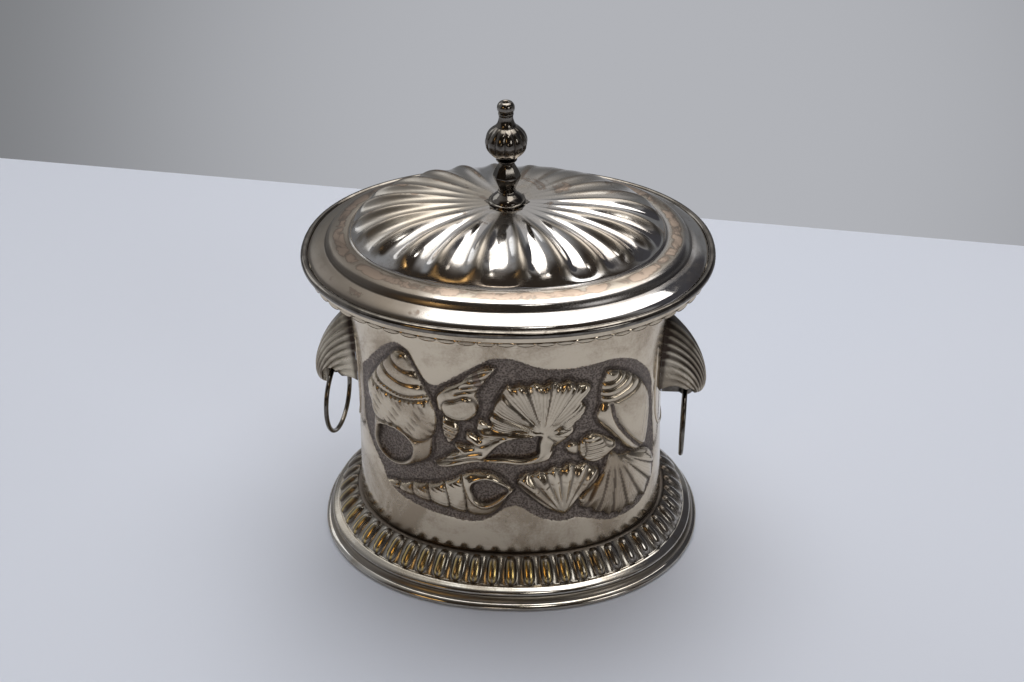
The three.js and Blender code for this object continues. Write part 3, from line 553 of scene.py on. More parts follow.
GROUND_EDGE = [
    (-80, 110), (-82, 95), (-82, 77), (-75, 66), (-67, 57), (-62, 49), (-53, 44), (-41, 41.5), (-25, 39.5),
    (-14, 39), (-6, 42), (1, 48), (7, 50), (12, 47), (17, 43), (25, 40), (31, 39), (37, 40), (45, 36.5),
    (53, 33), (62, 32), (72, 33), (80, 37), (87, 46), (88, 59), (87, 75), (85, 90), (82, 107), (75, 118),
    (65, 127), (54, 131), (43, 131), (30, 131), (18, 133), (6, 138), (-4, 138), (-12, 133), (-20, 127),
    (-28, 121), (-33, 119), (-37, 122), (-41, 129), (-45, 136), (-51, 138), (-58, 134), (-66, 126),
    (-74, 117),
]
FRIEZE_COLUMNS, FRIEZE_ROWS = 377, 234
# S runs along the wall from the middle of the front, and Z upwards, one value for each point of the relief.
S, Z = np.meshgrid(np.linspace(*FRIEZE_SPAN, FRIEZE_COLUMNS + 1), np.linspace(*FRIEZE_RISE, FRIEZE_ROWS + 1))


def box_round(line, reach):
    """True at the grid's points inside the box round a line, made larger by reach."""
    low, high = line.min(axis=0) - reach, line.max(axis=0) + reach
    return (S > low[0]) & (S < high[0]) & (Z > low[1]) & (Z < high[1])


def to_side(s, z, start, end):
    """Distance of points from a straight side: from the nearest point of it, between its two ends."""
    run_s, run_z = end - start
    from_s, from_z = s - start[0], z - start[1]
    along = np.clip((from_s * run_s + from_z * run_z) / (run_s**2 + run_z**2 + 1e-9), 0, 1)
    return np.hypot(from_s - along * run_s, from_z - along * run_z)


def inside(points, steps=5, reach=9.0):
    """Depth in millimetres inside a smooth closed outline, negative outside, cut off at reach.
    The depth is the distance to the nearest side, and a point is inside where a ray from it crosses an
    odd number of sides."""
    p = np.asarray(points, float)
    loop = smooth_line(np.vstack([p[-1], p, p[0], p[1]]), steps)[steps:-steps]
    box = box_round(loop, reach)
    s, z = S[box], Z[box]
    nearest = np.full(s.shape, reach)
    odd = np.zeros(s.shape, bool)
    for start, end in zip(loop[:-1], loop[1:]):
        nearest = np.minimum(nearest, to_side(s, z, start, end))
        if start[1] != end[1]:
            crossing = start[0] + (z - start[1]) * (end[0] - start[0]) / (end[1] - start[1])
            odd ^= ((z > start[1]) != (z > end[1])) & (s < crossing)
    depth = np.full(S.shape, -reach)
    depth[box] = np.where(odd, 1, -1) * nearest
    return depth


def near(points, width, steps=5):
    """1 on a smooth open line and falling away from it as exp of minus the square of distance over width."""
    line = smooth_line(points, steps)
    box = box_round(line, 4 * width)
    nearest = np.full(box.sum(), 99.0)
    for start, end in zip(line[:-1], line[1:]):
        nearest = np.minimum(nearest, to_side(S[box], Z[box], start, end))
    made = np.zeros(S.shape)
    made[box] = np.exp(-((nearest / width) ** 2))
    return made


def swell(depth, height, width):
    """Cushion over an outline: height times the quarter circle of depth over width, softened at the foot."""
    t = np.clip(depth / width, 0, 1)
    return height * np.sqrt(1 - (1 - t) ** 2) * step(depth, -0.4, 1.0)


def saw(turns, soft=0.12):
    """Overlapping folds: rises from 0 to 1 over each whole turn, then drops over the last soft share."""
    t = np.mod(turns, 1)
    return np.where(t < 1 - soft, t / (1 - soft), (1 - t) / soft)


ground = inside(GROUND_EDGE)
relief = MARGIN + (GROUND - MARGIN) * step(ground, -1.0, 3.4)
matt = step(ground, -1.2, 2.2)
cut_and_painted_shade = np.zeros(S.shape)


def lay(depth, form, keep=0.35):
    """Lays one shell on the ground: its form counts from the ground, it covers what is under it, it is
    free of matting, and a black line runs round it."""
    global relief, matt, cut_and_painted_shade
    cover = step(depth, -0.5, 0.5)
    relief = relief * (1 - cover) + (GROUND + np.maximum(form, 0)) * cover
    matt = matt * (1 - step(depth, -0.1, 0.9))
    line = np.exp(-(((depth + 0.75) / 0.60) ** 2))
    cut_and_painted_shade = np.maximum(cut_and_painted_shade * (1 - step(depth, 0, 0.8)), keep * 2.2 * line)
    cut_and_painted_shade = np.maximum(cut_and_painted_shade, 0.07 * cover)
    relief = relief - 0.25 * np.exp(-(((depth + 0.9) / 0.8) ** 2)) * (depth < 0.3)


def chase(lines, sharp=0.8, soft=0.5, width=0.55, broad=1.9, within=None):
    """Cuts lines into the relief: a narrow groove and a broad one, so the metal between lines swells."""
    global relief, cut_and_painted_shade
    for line in lines:
        narrow, wide = near(line, width), near(line, broad)
        if within is not None:
            mask = step(within, -0.2, 0.8)
            narrow, wide = narrow * mask, wide * mask
        relief = relief - sharp * narrow - soft * wide
        cut_and_painted_shade = np.maximum(cut_and_painted_shade, 0.8 * narrow)


def hollow(depth, floor, rim, width=1.2):
    """A shell's mouth: sunk to floor over the ground, dark and matted, inside a raised rim."""
    global relief, matt, cut_and_painted_shade
    sunk = step(depth, -0.3, 2.0)
    relief = relief * (1 - sunk) + (GROUND + floor + 0.5 * (1 - np.clip(depth / 7, 0, 1))) * sunk
    relief = relief + rim * np.exp(-(((depth + 0.9) / width) ** 2))
    matt = np.maximum(matt, step(depth, 0.2, 1.2))
    cut_and_painted_shade = np.maximum(cut_and_painted_shade, 0.8 * np.exp(-(((depth - 0.7) / 0.7) ** 2)))


# whelk, upright at the left
d = inside(WHELK)
shoulder = Z - (107.2 + 0.010 * (S + 49) ** 2)
body = step(-shoulder, 0, 3) * step(Z, 84, 92)
wrinkle = np.sin(2 * np.pi * (0.80 * S + 0.60 * Z + 1.3 * np.sin(Z / 5.0)) / 4.3)
wrinkle *= np.sin(2 * np.pi * (S - 0.5 * Z) / 23 + 1)
beads = np.sin(2 * np.pi * S / 1.9) * step(shoulder, 0.2, 1.0) * (1 - step(shoulder, 2.6, 3.4))
ticks = np.sin(2 * np.pi * (S + 0.4 * Z) / 2.6) * np.exp(-(((shoulder + 3.0) / 2.2) ** 2))
lay(d, swell(d, 4.3, 9) + 0.34 * wrinkle * body + 0.26 * beads + 0.26 * ticks)
cut_and_painted_shade = np.maximum(cut_and_painted_shade, 0.55 * step(-wrinkle, 0.45, 0.9) * body * step(d, 0.5, 2))
chase([
    [(-55, 129), (-50, 126.5), (-46, 124.5), (-42, 124)],
    [(-60.5, 123), (-54, 119), (-48, 117), (-39.5, 117)],
    [(-66, 117), (-61, 112.8), (-53, 110.3), (-46, 109.8), (-37, 112)],
    [(-71, 111.5), (-64, 109), (-57, 107.3), (-48, 107), (-36, 109.5)],
], within=d)
chase([[(-71, 87), (-61, 89), (-52, 90), (-46, 87.5), (-41, 85), (-34, 87)]], 0.5, 0.5, within=d)
hollow(inside(WHELK_MOUTH), 0.55, 0.75, 1.5)

# small pointed olive and the curl under it
d = inside(CURL)
lay(d, swell(d, 2.3, 3) + 0.35 * np.sin(2 * np.pi * (0.35 * S + 0.9 * Z) / 3.0) * step(d, 0.3, 1.2))
d, inner_d = inside(OLIVE), inside(OLIVE_BODY)
lay(d, swell(d, 3.3, 6))
relief = relief + swell(inner_d, 1.0, 4)
relief = relief + 0.12 * np.sin(2 * np.pi * inner_d / 1.7) * step(inner_d, 0.3, 1)
chase([OLIVE_BODY + OLIVE_BODY[:1]], 0.45, 0.1, 0.5, within=d)
chase([
    [(-21, 117), (-16, 119), (-10.5, 118.5)],
    [(-18, 120.5), (-13, 122.3), (-8.5, 121.5)],
    [(-14, 124.5), (-9.5, 126), (-6, 125.5)],
    [(-16, 125), (-9, 129.5), (-4, 131)],
], 0.6, 0.3, 0.5, 1.3, within=d)
wear = 0.75 * step(d, 0, 0.7) * np.exp(-(((S + 8.5 + 0.35 * (Z - 120)) / 2.2) ** 2)) * step(Z, 108, 116)

# murex in the middle: frilled fans spread from its spire, spines on the left, a long canal and a dark mouth
d = inside(MUREX)
fx, fz = S - 20.0, Z - 95.5
fan_angle, fan_reach = np.arctan2(fz, fx), np.hypot(fx, fz)
fold_turns = -fan_angle * 15 / (2 * np.pi) + 0.35
folds = saw(fold_turns)
fine = np.sin(fan_angle * 74) * step(fan_reach, 5, 11)
upper = step(Z, 90, 96)
frills = upper * step(fan_reach, 2, 9) * (1.6 * folds - 0.8 + 0.16 * fine) * step(d, 0.0, 2.0)
lay(d, swell(d, 4.0, 7) + frills)
cut_and_painted_shade = np.maximum(cut_and_painted_shade, 0.75 * upper * step(d, 0, 1) * (np.mod(fold_turns, 1) > 0.84) * step(fan_reach, 4, 8))
cut_and_painted_shade = np.maximum(cut_and_painted_shade, 0.35 * upper * step(-fine, 0.3, 0.9) * step(fan_reach, 5, 11) * step(d, 0.3, 1.2))
chase([
    [(-33, 72.3), (-24, 76.5), (-16, 79), (-8, 79.5)],
    [(-28, 76), (-21, 79.5), (-15, 82.5), (-9, 84)],
], 0.5, 0.2, 0.5, 1.2, within=d)
chase([
    [(-17, 85.5), (-8, 88.5), (-2, 93), (7, 97)],
    [(22, 94), (25, 90), (24, 84)],
], 0.4, 0.2, 0.5, 1.3, within=d)
relief = relief + 0.9 * near([(-30, 72.5), (-20, 75.5), (-8, 78.3), (6, 78.3), (16, 78.8), (22, 81)], 1.3)
hollow(inside(MUREX_MOUTH), 0.5, 0.7)

# turban, upright at the right
d = inside(TURBAN)
strands = np.sin(2 * np.pi * (S - 0.12 * (Z - 90)) / 2.3) * step(S, 69, 72)
lay(d, swell(d, 4.0, 8) + 0.16 * strands * step(d, 0.3, 1.5))
chase([
    [(47, 118), (53, 119), (57, 121), (59, 125)],
    [(47, 114), (53, 115), (59, 117.5), (63, 121)],
    [(47, 110.5), (55, 111), (62, 113.5), (67, 117.5)],
    [(46.5, 106.5), (56, 107), (65, 109), (72, 113)],
], 0.9, 0.5, 0.6, 1.7, within=d)
slit = near([(53.5, 105), (55, 98), (58, 91), (63, 83), (69, 75), (73, 71)], 1.3)
relief = relief - 1.6 * slit
matt = np.maximum(matt, 0.8 * step(slit, 0.35, 0.8))
relief = relief + 0.6 * near([(49, 103), (49.5, 98), (54, 91), (60, 82.5), (66, 75)], 1.7)

# small snail between them
d = inside(SNAIL_TIP)
lay(d, swell(d, 2.0, 3))
d = inside(SNAIL)
lay(d, swell(d, 3.0, 5) + 0.24 * np.sin(2 * np.pi * Z / 2.3) * step(d, 0.5, 2) * step(52 - S, 0, 3))
chase([
    [(50, 86), (51.5, 82), (55, 80), (56.5, 83)],
    [(40, 88), (41, 82), (40, 76)],
], 0.6, 0.3, 0.5, 1.3, within=d)

# turret, lying at the lower left
d = inside(TURRET)
threads = np.sin(2 * np.pi * (Z + 0.3 * S) / 1.9)
lay(d, swell(d, 3.6, 6) + 0.10 * threads * step(-S, 16, 20) * step(d, 0.4, 1.5))
chase([
    [(-55, 55), (-53.5, 51), (-52.5, 46)],
    [(-46.8, 58), (-45, 52), (-43.8, 46)],
    [(-38, 60), (-36, 53), (-34.5, 45)],
    [(-29, 63), (-26.5, 55), (-25, 44.5)],
    [(-20, 69), (-18, 58), (-16.5, 43)],
], 0.9, 0.6, 0.55, 1.9, within=d)
hollow(inside(TURRET_MOUTH), 0.7, 0.8, 1.1)

# scallop and open fan along the bottom
d = inside(SCALLOP)
ray = np.arctan2(Z - 44.5, S - 29.5)
reach = np.hypot(Z - 44.5, S - 29.5)
ribs = np.cos(ray * 25)
ring_line = 0.25 * np.exp(-(((reach - 21) / 0.6) ** 2))
lay(d, swell(d, 4.2, 9) + 0.70 * ribs * step(reach, 4, 14) * step(d, 0.2, 2.0) - ring_line)
cut_and_painted_shade = np.maximum(cut_and_painted_shade, 0.7 * step(-ribs, 0.5, 1.0) * step(reach, 6, 12) * step(d, 0.2, 1))
d = inside(FAN)
ray = np.arctan2(Z - 76.0, S - 56.0)
reach = np.hypot(Z - 76.0, S - 56.0)
pleat_turns = -ray * 27 / (2 * np.pi)
pleats = saw(pleat_turns, 0.25)
grain = np.sin(ray * 130)
lay(d, swell(d, 3.8, 9) + (1.2 * pleats - 0.6 + 0.08 * grain) * step(reach, 4, 12) * step(d, 0.0, 2.0))
cut_and_painted_shade = np.maximum(cut_and_painted_shade, 0.7 * (np.mod(pleat_turns, 1) > 0.83) * step(reach, 6, 12) * step(d, 0.2, 1))
cut_and_painted_shade = np.maximum(cut_and_painted_shade, 0.3 * step(-grain, 0.2, 0.9) * step(reach, 8, 14) * step(d, 0.2, 1))

from_edge = np.minimum.reduce([
    S - FRIEZE_SPAN[0], FRIEZE_SPAN[1] - S, Z - FRIEZE_RISE[0], FRIEZE_RISE[1] - Z,
])
relief = np.where(from_edge < 2.0, MARGIN, relief)
relief = np.maximum(relief, GROUND - 0.25)
front = on_wall(S, Z, relief).reshape(-1, 3)
# The back of each relief is a coarser grid, joined to the front's edge by a skirt.
coarse = on_wall(S[::BACK_EVERY, ::BACK_EVERY], Z[::BACK_EVERY, ::BACK_EVERY], FRIEZE_BACK)
small = coarse.shape[:2]
number = np.arange(S.size).reshape(S.shape)
small_number = np.arange(small[0] * small[1]).reshape(small) + S.size


def rim_of(numbers):
    """The numbers round the edge of a grid, once round."""
    return np.concatenate([numbers[0, :-1], numbers[:-1, -1], numbers[-1, :0:-1], numbers[:0:-1, 0]])


fine_rim, coarse_rim = rim_of(number), rim_of(small_number)
at = np.arange(fine_rim.size)
after = np.roll(fine_rim, -1)
under, next_under = coarse_rim[at // BACK_EVERY], coarse_rim[(at + 1) // BACK_EVERY % coarse_rim.size]
same = under == next_under
skirt_triangles = np.stack([after, fine_rim, under], -1)[same]
skirt_quads = np.stack([after, fine_rim, under, next_under], -1)[~same]
frieze_faces = [
    grid_faces(*S.shape, False, False), grid_faces(*small, False, False, S.size)[:, ::-1],
    skirt_triangles, skirt_quads,
]
masks = {
    name: np.concatenate([values.ravel(), np.zeros(small_number.size)])
    for name, values in (("matt", matt), ("cut_and_painted_shade", np.clip(cut_and_painted_shade, 0, 0.9)), ("wear", wear))
}
frieze_points = np.vstack([front, coarse.reshape(-1, 3)])
half_turn = np.array([-1.0, -1.0, 1.0])
for side, turned_by in (("front", 1.0), ("back", half_turn)):
    make_piece(
        f"{side}_shell_frieze", (frieze_points * turned_by, frieze_faces), satin_plate, "box", ["body_wall"],
        masks, 70,
    )

# The U-shaped line raised on each end of the wall, under the lug. It is chased up from inside, and fades out
# at its two upper ends.
LINE_HALF_WIDTH = 0.9
LINE_HEIGHT = 0.55


def fan_of(numbers):
    """Triangles that close a ring of points, all from its first point."""
    return np.stack([np.full(len(numbers) - 2, numbers[0]), numbers[1:-1], numbers[2:]], -1)


leg = [(-20.5, 121), (-20.5, 104), (-19.8, 88), (-17, 76), (-11, 69), (0, 66.5)]
line = smooth_line(leg + [(-x, z) for x, z in leg[-2::-1]], 8)
tangent = np.gradient(line, axis=0)
tangent /= np.linalg.norm(tangent, axis=1)[:, None]
bar = np.linspace(0, np.pi, 7)
bar = np.vstack([np.stack([np.cos(bar), LINE_HEIGHT * np.sin(bar) + 0.02], -1), [(-0.9, -0.4), (0.9, -0.4)]])
order = np.arange(len(line))
taper = step(order, 0, 6) * step(order[::-1], 0, 6)
end_s = trace_length[-1]
line_s = end_s + line[:, None, 0] + tangent[:, None, 1] * bar[:, 0] * LINE_HALF_WIDTH
line_z = line[:, None, 1] - tangent[:, None, 0] * bar[:, 0] * LINE_HALF_WIDTH
proud = bar[:, 1] * (0.3 + 0.7 * taper[:, None])
behind = line_s > end_s
points = on_wall(np.where(behind, 2 * end_s - line_s, line_s), line_z, proud)
points[..., 1] = np.where(behind, -points[..., 1], points[..., 1])
ring = np.arange(len(bar))
line_faces = [
    grid_faces(len(line), len(bar), False, True),
    fan_of(ring[::-1]),
    fan_of(ring + (len(line) - 1) * len(bar)),
]
for side, turned_by in (("right", 1.0), ("left", half_turn)):
    shape = (points * turned_by, line_faces)
    make_piece(f"{side}_end_line", shape, satin_plate, "box", ())

# The mouth rim is a flat ring on the lip that the lid rests on; under its edge hangs a strip of 62 small
# scallops, each with a chased line inside it.
RIM_HALF = 95.5
RIM_INSIDE = 80.0
RIM_BASE, RIM_TOP = 158.3, 161.7
SCALLOPS = 62
SCALLOP_DROP = 2.0
section = np.vstack([
    [(RIM_INSIDE, RIM_BASE)],
    smooth_line([
        (94.6, RIM_BASE), (95.3, RIM_BASE + 0.35), (RIM_HALF, RIM_BASE + 1.1), (RIM_HALF, RIM_TOP - 0.7),
        (95.25, RIM_TOP - 0.1), (94.9, RIM_TOP),
    ], 4),
    [(RIM_INSIDE, RIM_TOP)],
])
make_piece("mouth_ring", carried_round(section), satin_plate, "box", ["mouth_rim"])
across = np.abs(across_each(SCALLOPS, points=14, start=0.5))
hang = 0.25 + SCALLOP_DROP * np.sqrt(np.clip(1 - across**2.2, 0, 1))
share = np.array([0.0, 0.0, 0.25, 0.5, 0.68, 0.8, 0.92, 1.0, 1.0])
proud = np.array([-1.9, -0.35, -0.15, -0.05, 0.0, -0.35, -0.1, -0.45, -1.9])
scallop_half, scallop_z = (RIM_HALF - 0.35 + proud)[:, None], RIM_BASE - 0.05 - share[:, None] * hang
scallops = oval_ring(scallop_half, scallop_z, even_angles(RIM_HALF, hang.size))
dark = np.array([0.0, 0.0, 0.0, 0.0, 0.0, 0.45, 0.45, 0.95, 0.95])[:, None]
make_piece("scallop_strip", scallops, satin_plate, "box", ["scalloped_border"], {"cut_and_painted_shade": dark})

# The lid: one sheet raised into a low dome with 24 flutes, inside a raised ring, a cove and a sloping border.
# Its plate is rubbed through to the copper on the ring and on the ridges between the flutes.
DOME_EDGE = 173.48
DOME_RISE = 13.8
FLUTES = 24
RING_HALF_LENGTH = 79.8
COVE_HALF = 86.5
worn_plate = plate_material("worn_plate", (0.62, 0.60, 0.58), (0.38, 0.33, 0.28), 0.75, 34, 0.06, 0.28, 0.02)
border = np.vstack([
    smooth_line([(94.75, 164.9), (93.6, 166.0), (91.7, 167.0), (89.6, 167.8), (88.2, 168.2)]),
    smooth_line([(87.6, 168.35), (86.9, 168.6), (86.3, 169.3), (85.6, 170.4), (84.9, 171.2)]),
    smooth_line([
        (84.3, 171.75), (82.9, 172.35), (80.7, 172.9), (78.2, 173.2), (76.2, 173.15), (75.3, 172.9),
    ]),
])
share = np.concatenate([
    1 - 0.2 * np.linspace(0, 1, 30) ** 1.8,
    np.linspace(0.79, 0.42, 22),
    np.linspace(0.39, 2.35 / DOME_HALF, 10),
])
flute_turn = across_each(FLUTES, points=22, start=0.5)
lid_angle = turns(flute_turn.size)
sweep = (step(share, 0.26, 0.74) * (1 - step(share, 0.92, 1.0)))[:, None]
rise = 0.5 - 0.5 * np.cos(np.pi * np.abs(flute_turn) ** 1.5)
rear_left, rear_right = on_side(lid_angle, 70, 140, 30), on_side(lid_angle, 22, 72, 20)
rise = 0.45 + (rise - 0.45) * (1 - 0.4 * rear_left - 0.75 * rear_right)
scoop_z = DOME_RISE * np.clip(1 - share[:, None] ** 3.6, 0, 1) ** 0.7
ridge_z = DOME_RISE * np.clip(1 - share[:, None] ** 5.5, 0, 1) ** 0.72 + 1.4 * sweep
dome_z = DOME_EDGE + scoop_z + (ridge_z - scoop_z) * rise[None, :]
beneath = np.unique(np.append(np.arange(0, len(share), 3), len(share) - 1))
kept = np.append(np.arange(0, len(border), 3), len(border) - 1)
edge_half, edge_z = border[:, :1], border[:, 1:] + np.zeros(lid_angle.size)
half = np.vstack([
    edge_half,
    DOME_HALF * share[:, None],
    (DOME_HALF * share[beneath, None])[::-1],
    (edge_half[kept] - 0.3)[::-1],
])
level = np.vstack([
    edge_z,
    dome_z,
    (dome_z[beneath] - 1.15 - 0.9 * share[beneath, None] ** 12)[::-1],
    (edge_z[kept] - 1.2)[::-1],
])


def lid_mask(on_border, on_dome):
    """A mask that is given over the border and over the dome, and is 0 on the underside."""
    mask = np.zeros(level.shape)
    mask[:len(border)] = on_border
    mask[len(border):len(border) + len(share)] = on_dome
    return mask


def hump(value, middle, width, power=2):
    """1 at the middle and falling away from it as exp of minus a power of distance over width."""
    return np.exp(-(((value - middle) / width) ** power))


outwards = (1 - step(share, 0.96, 1.0))[:, None]
ridge = step(np.abs(flute_turn), 0.58, 0.86)[None, :] * (step(share, 0.25, 0.5)[:, None] * outwards)
rear = on_side(lid_angle, 20, 76, 20)[None, :] * (1 - step(share, 0.80, 0.95))[:, None]
left = on_side(lid_angle, 130, 205, 25)[None, :] * (1 - step(share, 0.90, 1.0))[:, None]
behind = on_side(lid_angle, 60, 180, 30)[None, :]
crown = (1 - step(share, 0.34, 0.56))[:, None]
front_left = on_side(lid_angle, 140, 244, 14)
# The border is made darker and duller on the left, most towards the front.
front_left_darkening = 0.35 * front_left + 0.28 * on_side(lid_angle, 200, 244, 14)
# Painted dark reflection in the cove at the front right.
painted_cove_reflection = hump(edge_half, 86.3, 2.4, 4) * on_side(lid_angle, 292, 345, 12)[None, :]
crevices = 0.75 * hump(edge_half, COVE_HALF, 0.8) + 0.7 * hump(edge_half, 75.2, 0.5)
make_piece(
    "fluted_lid", oval_ring(half, level, lid_angle), worn_plate, "lid", ["lid_shell"],
    {
        "wear": lid_mask(
            0.50 * hump(edge_half, RING_HALF_LENGTH, 3.4, 4) + 0.30 * hump(edge_half, 91, 2.5, 4),
            np.maximum(0.40 * ridge * behind, np.maximum(0.31 * crown, 0.32 * rear)),
        ),
        "cut_and_painted_shade": lid_mask(np.maximum(crevices, np.maximum(front_left_darkening[None, :], 0.65 * painted_cove_reflection)), 0.38 * ridge),
        "dull": lid_mask(
            0.85 * np.maximum(front_left[None, :], hump(edge_half, RING_HALF_LENGTH, 3.6, 6)),
            np.maximum(np.maximum(0.8 * ridge, 0.75 * left), np.maximum(0.55 * rear, 0.25 * crown)),
        ),
    },
)

# The lid's rolled edge, a wire turned in under the border and black with tarnish, and the bezel that is
# soldered inside the lid and drops inside the wall.
EDGE_HALF, EDGE_HEIGHT, EDGE_WIRE = 96.7, 163.8, 1.8
dark_plate = plate_material(
    "dark_plate", (0.21, 0.19, 0.165), (0.09, 0.078, 0.065), 0.8, 90, 0.07, 0.20, 0.02
)
wire = turns(20)
section = np.stack([EDGE_HALF + EDGE_WIRE * np.cos(wire), EDGE_HEIGHT + EDGE_WIRE * np.sin(wire)], -1)
make_piece("lid_rolled_edge", carried_round(section), dark_plate, "lid", ["lid_rim_wire"])
section = np.array([
    (76.3, 149.9), (76.5, 149.7), (77.1, 149.7), (77.35, 150.0), (77.35, 171.7), (76.25, 171.7),
])
make_piece("lid_collar", carried_round(section), satin_plate, "lid", ["lid_bezel"])

# The finial, cast and turned in four parts: a spreading foot, a faceted baluster, a ball of twelve lobes and
# a screw-down bead. Its foot stands on a thin leaf cut with pointed petals.
BORE = 2.3
LEAF_SIDES, PETALS = 96, 8
STEM_SIDES, FACETS = 96, 8
BALL_SIDES, BALL_LOBES = 144, 12
BALL_HALF, BALL_MIDDLE, BALL_RISE = 9.8, 218.2, 8.6


def finial_part(name, nodes, rows, sides, lobe=1.0, masks=None, crease=40.0):
    """Piece of the finial: rows of (radius, height), in a closed loop, turned about its axis. Lobe
    multiplies the radius, as one value for each row and side."""
    rows = np.asarray(rows, float)
    radius = rows[:, :1] * np.broadcast_to(lobe, (len(rows), sides))
    angle = turns(sides)
    points = np.stack([radius * np.cos(angle), radius * np.sin(angle), rows[:, 1:] + 0 * radius], -1)
    shape = (points, [grid_faces(len(rows), sides)])
    make_piece(name, shape, dark_plate, "lid", nodes, masks, crease)


finial_part("finial_spread_foot", ["finial_foot"], np.vstack([
    smooth_line([(8.55, 187.75), (8.75, 188.1), (8.6, 188.5), (8.15, 188.75)], 4),
    smooth_line([(7.7, 188.8), (7.55, 189.3), (6.6, 190.4), (5.2, 191.5), (4.3, 192.2), (3.9, 192.7)], 5),
    smooth_line([(4.15, 192.85), (4.35, 193.05), (4.1, 193.3), (3.75, 193.4)], 4),
    [(BORE, 193.4), (BORE, 187.75)],
]), 64)

angle = turns(LEAF_SIDES)
petal = np.abs(np.mod(angle * PETALS / (2 * np.pi), 1) * 2 - 1)
lobe = np.ones((6, LEAF_SIDES))
lobe[1:5] = 8.6 + 2.1 * petal**1.3 - 0.35 * np.abs(np.sin(angle * 24))
finial_part("finial_leaf", (), [
    (BORE, 187.35), (0.7, 187.35), (1.0, 187.3), (1.0, 187.5), (0.7, 187.7), (BORE, 187.7),
], LEAF_SIDES, lobe)

rows = np.vstack([
    smooth_line([
        (3.7, 193.5), (4.3, 195.2), (5.6, 198.0), (6.35, 200.1), (6.5, 200.9), (6.3, 201.8), (5.2, 204.4),
        (4.1, 206.4), (3.6, 207.3),
    ], 4),
    smooth_line([(3.75, 207.9), (4.5, 208.7), (4.9, 209.25), (4.7, 209.5)], 3),
    [(BORE, 209.5), (BORE, 193.5)],
])
facets = np.cos(np.pi / FACETS) / np.cos(np.mod(turns(STEM_SIDES), 2 * np.pi / FACETS) - np.pi / FACETS)
facet_share = step(rows[:, 1], 193.8, 196) * (1 - step(rows[:, 1], 205.5, 207.5)) * (rows[:, 0] > BORE)
lobe = 1 + (facets[None, :] - 1) * facet_share[:, None]
finial_part("finial_faceted_stem", ["finial_baluster"], rows, STEM_SIDES, lobe, crease=28)

turn = np.linspace(-0.92, 0.68, 28) * np.pi / 2
ball = np.stack([BALL_HALF * np.cos(turn), BALL_MIDDLE + BALL_RISE * np.sin(turn)], -1)
rows = np.vstack([
    [(3.3, 209.6)],
    ball[ball[:, 0] > 3.4],
    smooth_line([(4.7, 226.2), (4.1, 227.1), (3.6, 228.4), (3.3, 229.8), (3.25, 230.9)], 4),
    [(BORE, 230.9), (BORE, 209.6)],
])
depth = 0.085 * np.clip((rows[:, :1] - 4) / 5.8, 0, 1) ** 0.7
wave = np.abs(np.sin(BALL_LOBES / 2 * np.arange(BALL_SIDES) * 2 * np.pi / BALL_SIDES))[None, :]
seam = 1 - 0.012 * np.exp(-(((rows[:, 1:] - 216.9) / 0.25) ** 2))
lobe = (1 - depth * (1 - wave**0.7)) * seam
dark = (1 - wave**0.35) * np.clip(depth * 14, 0, 1)
finial_part("finial_lobed_ball", ["finial_ball"], rows, BALL_SIDES, lobe, {"cut_and_painted_shade": 0.8 * dark})

finial_part("finial_bead", ["finial_tip"], np.vstack([
    smooth_line([
        (0.02, 236.2), (0.9, 236.3), (1.2, 237.2), (1.9, 237.62), (3.0, 237.2), (3.85, 236.0), (4.05, 234.6),
        (3.75, 233.3), (3.1, 232.6),
    ], 4),
    smooth_line([(3.0, 232.45), (3.5, 232.2), (3.45, 231.75), (3.0, 231.6)], 3),
    smooth_line([(3.25, 231.5), (3.45, 231.3), (3.2, 231.15)], 3),
    [(0.02, 231.1)],
]), 48)

# The lugs: two cast half shells soldered to the ends, ribbed from the beak to the wall. Each is hollow, open
# below and cut out round the eye that its ring hangs in, with painted shade in its folds and hollow.
LUG_BEAK, LUG_RISE, LUG_SIDE_RISE, LUG_WIDTH, LUG_REACH = 80.5, 47.5, 9.5, 25.0, 18.4
LUG_THICKNESS = 1.4
RIBS = 18
EYE_REACH = 12.5
EYE_HEIGHTS = {"right": 83.5, "left": 90.5}
EYE_HALF = 3.2
EYE_ROOM = 4.8
ARCH_DROP, ARCH_RISE, ARCH_HALF = 3, 7.8, 6.2
lug_plate = plate_material("lug_plate", (0.62, 0.55, 0.43), (0.28, 0.23, 0.17), 0.8, 60, 0.26, 0.40, 0.03)


def wall_x(y, z):
    """X of the wall's outside at y from the long axis: half times (1 - share^2.14)^(1/2.14)."""
    half = wall_half(z)
    share = np.clip(np.abs(y) / (half - NARROWER), 0, 1)
    return half * (1 - share**OVAL_POWER) ** (1 / OVAL_POWER)


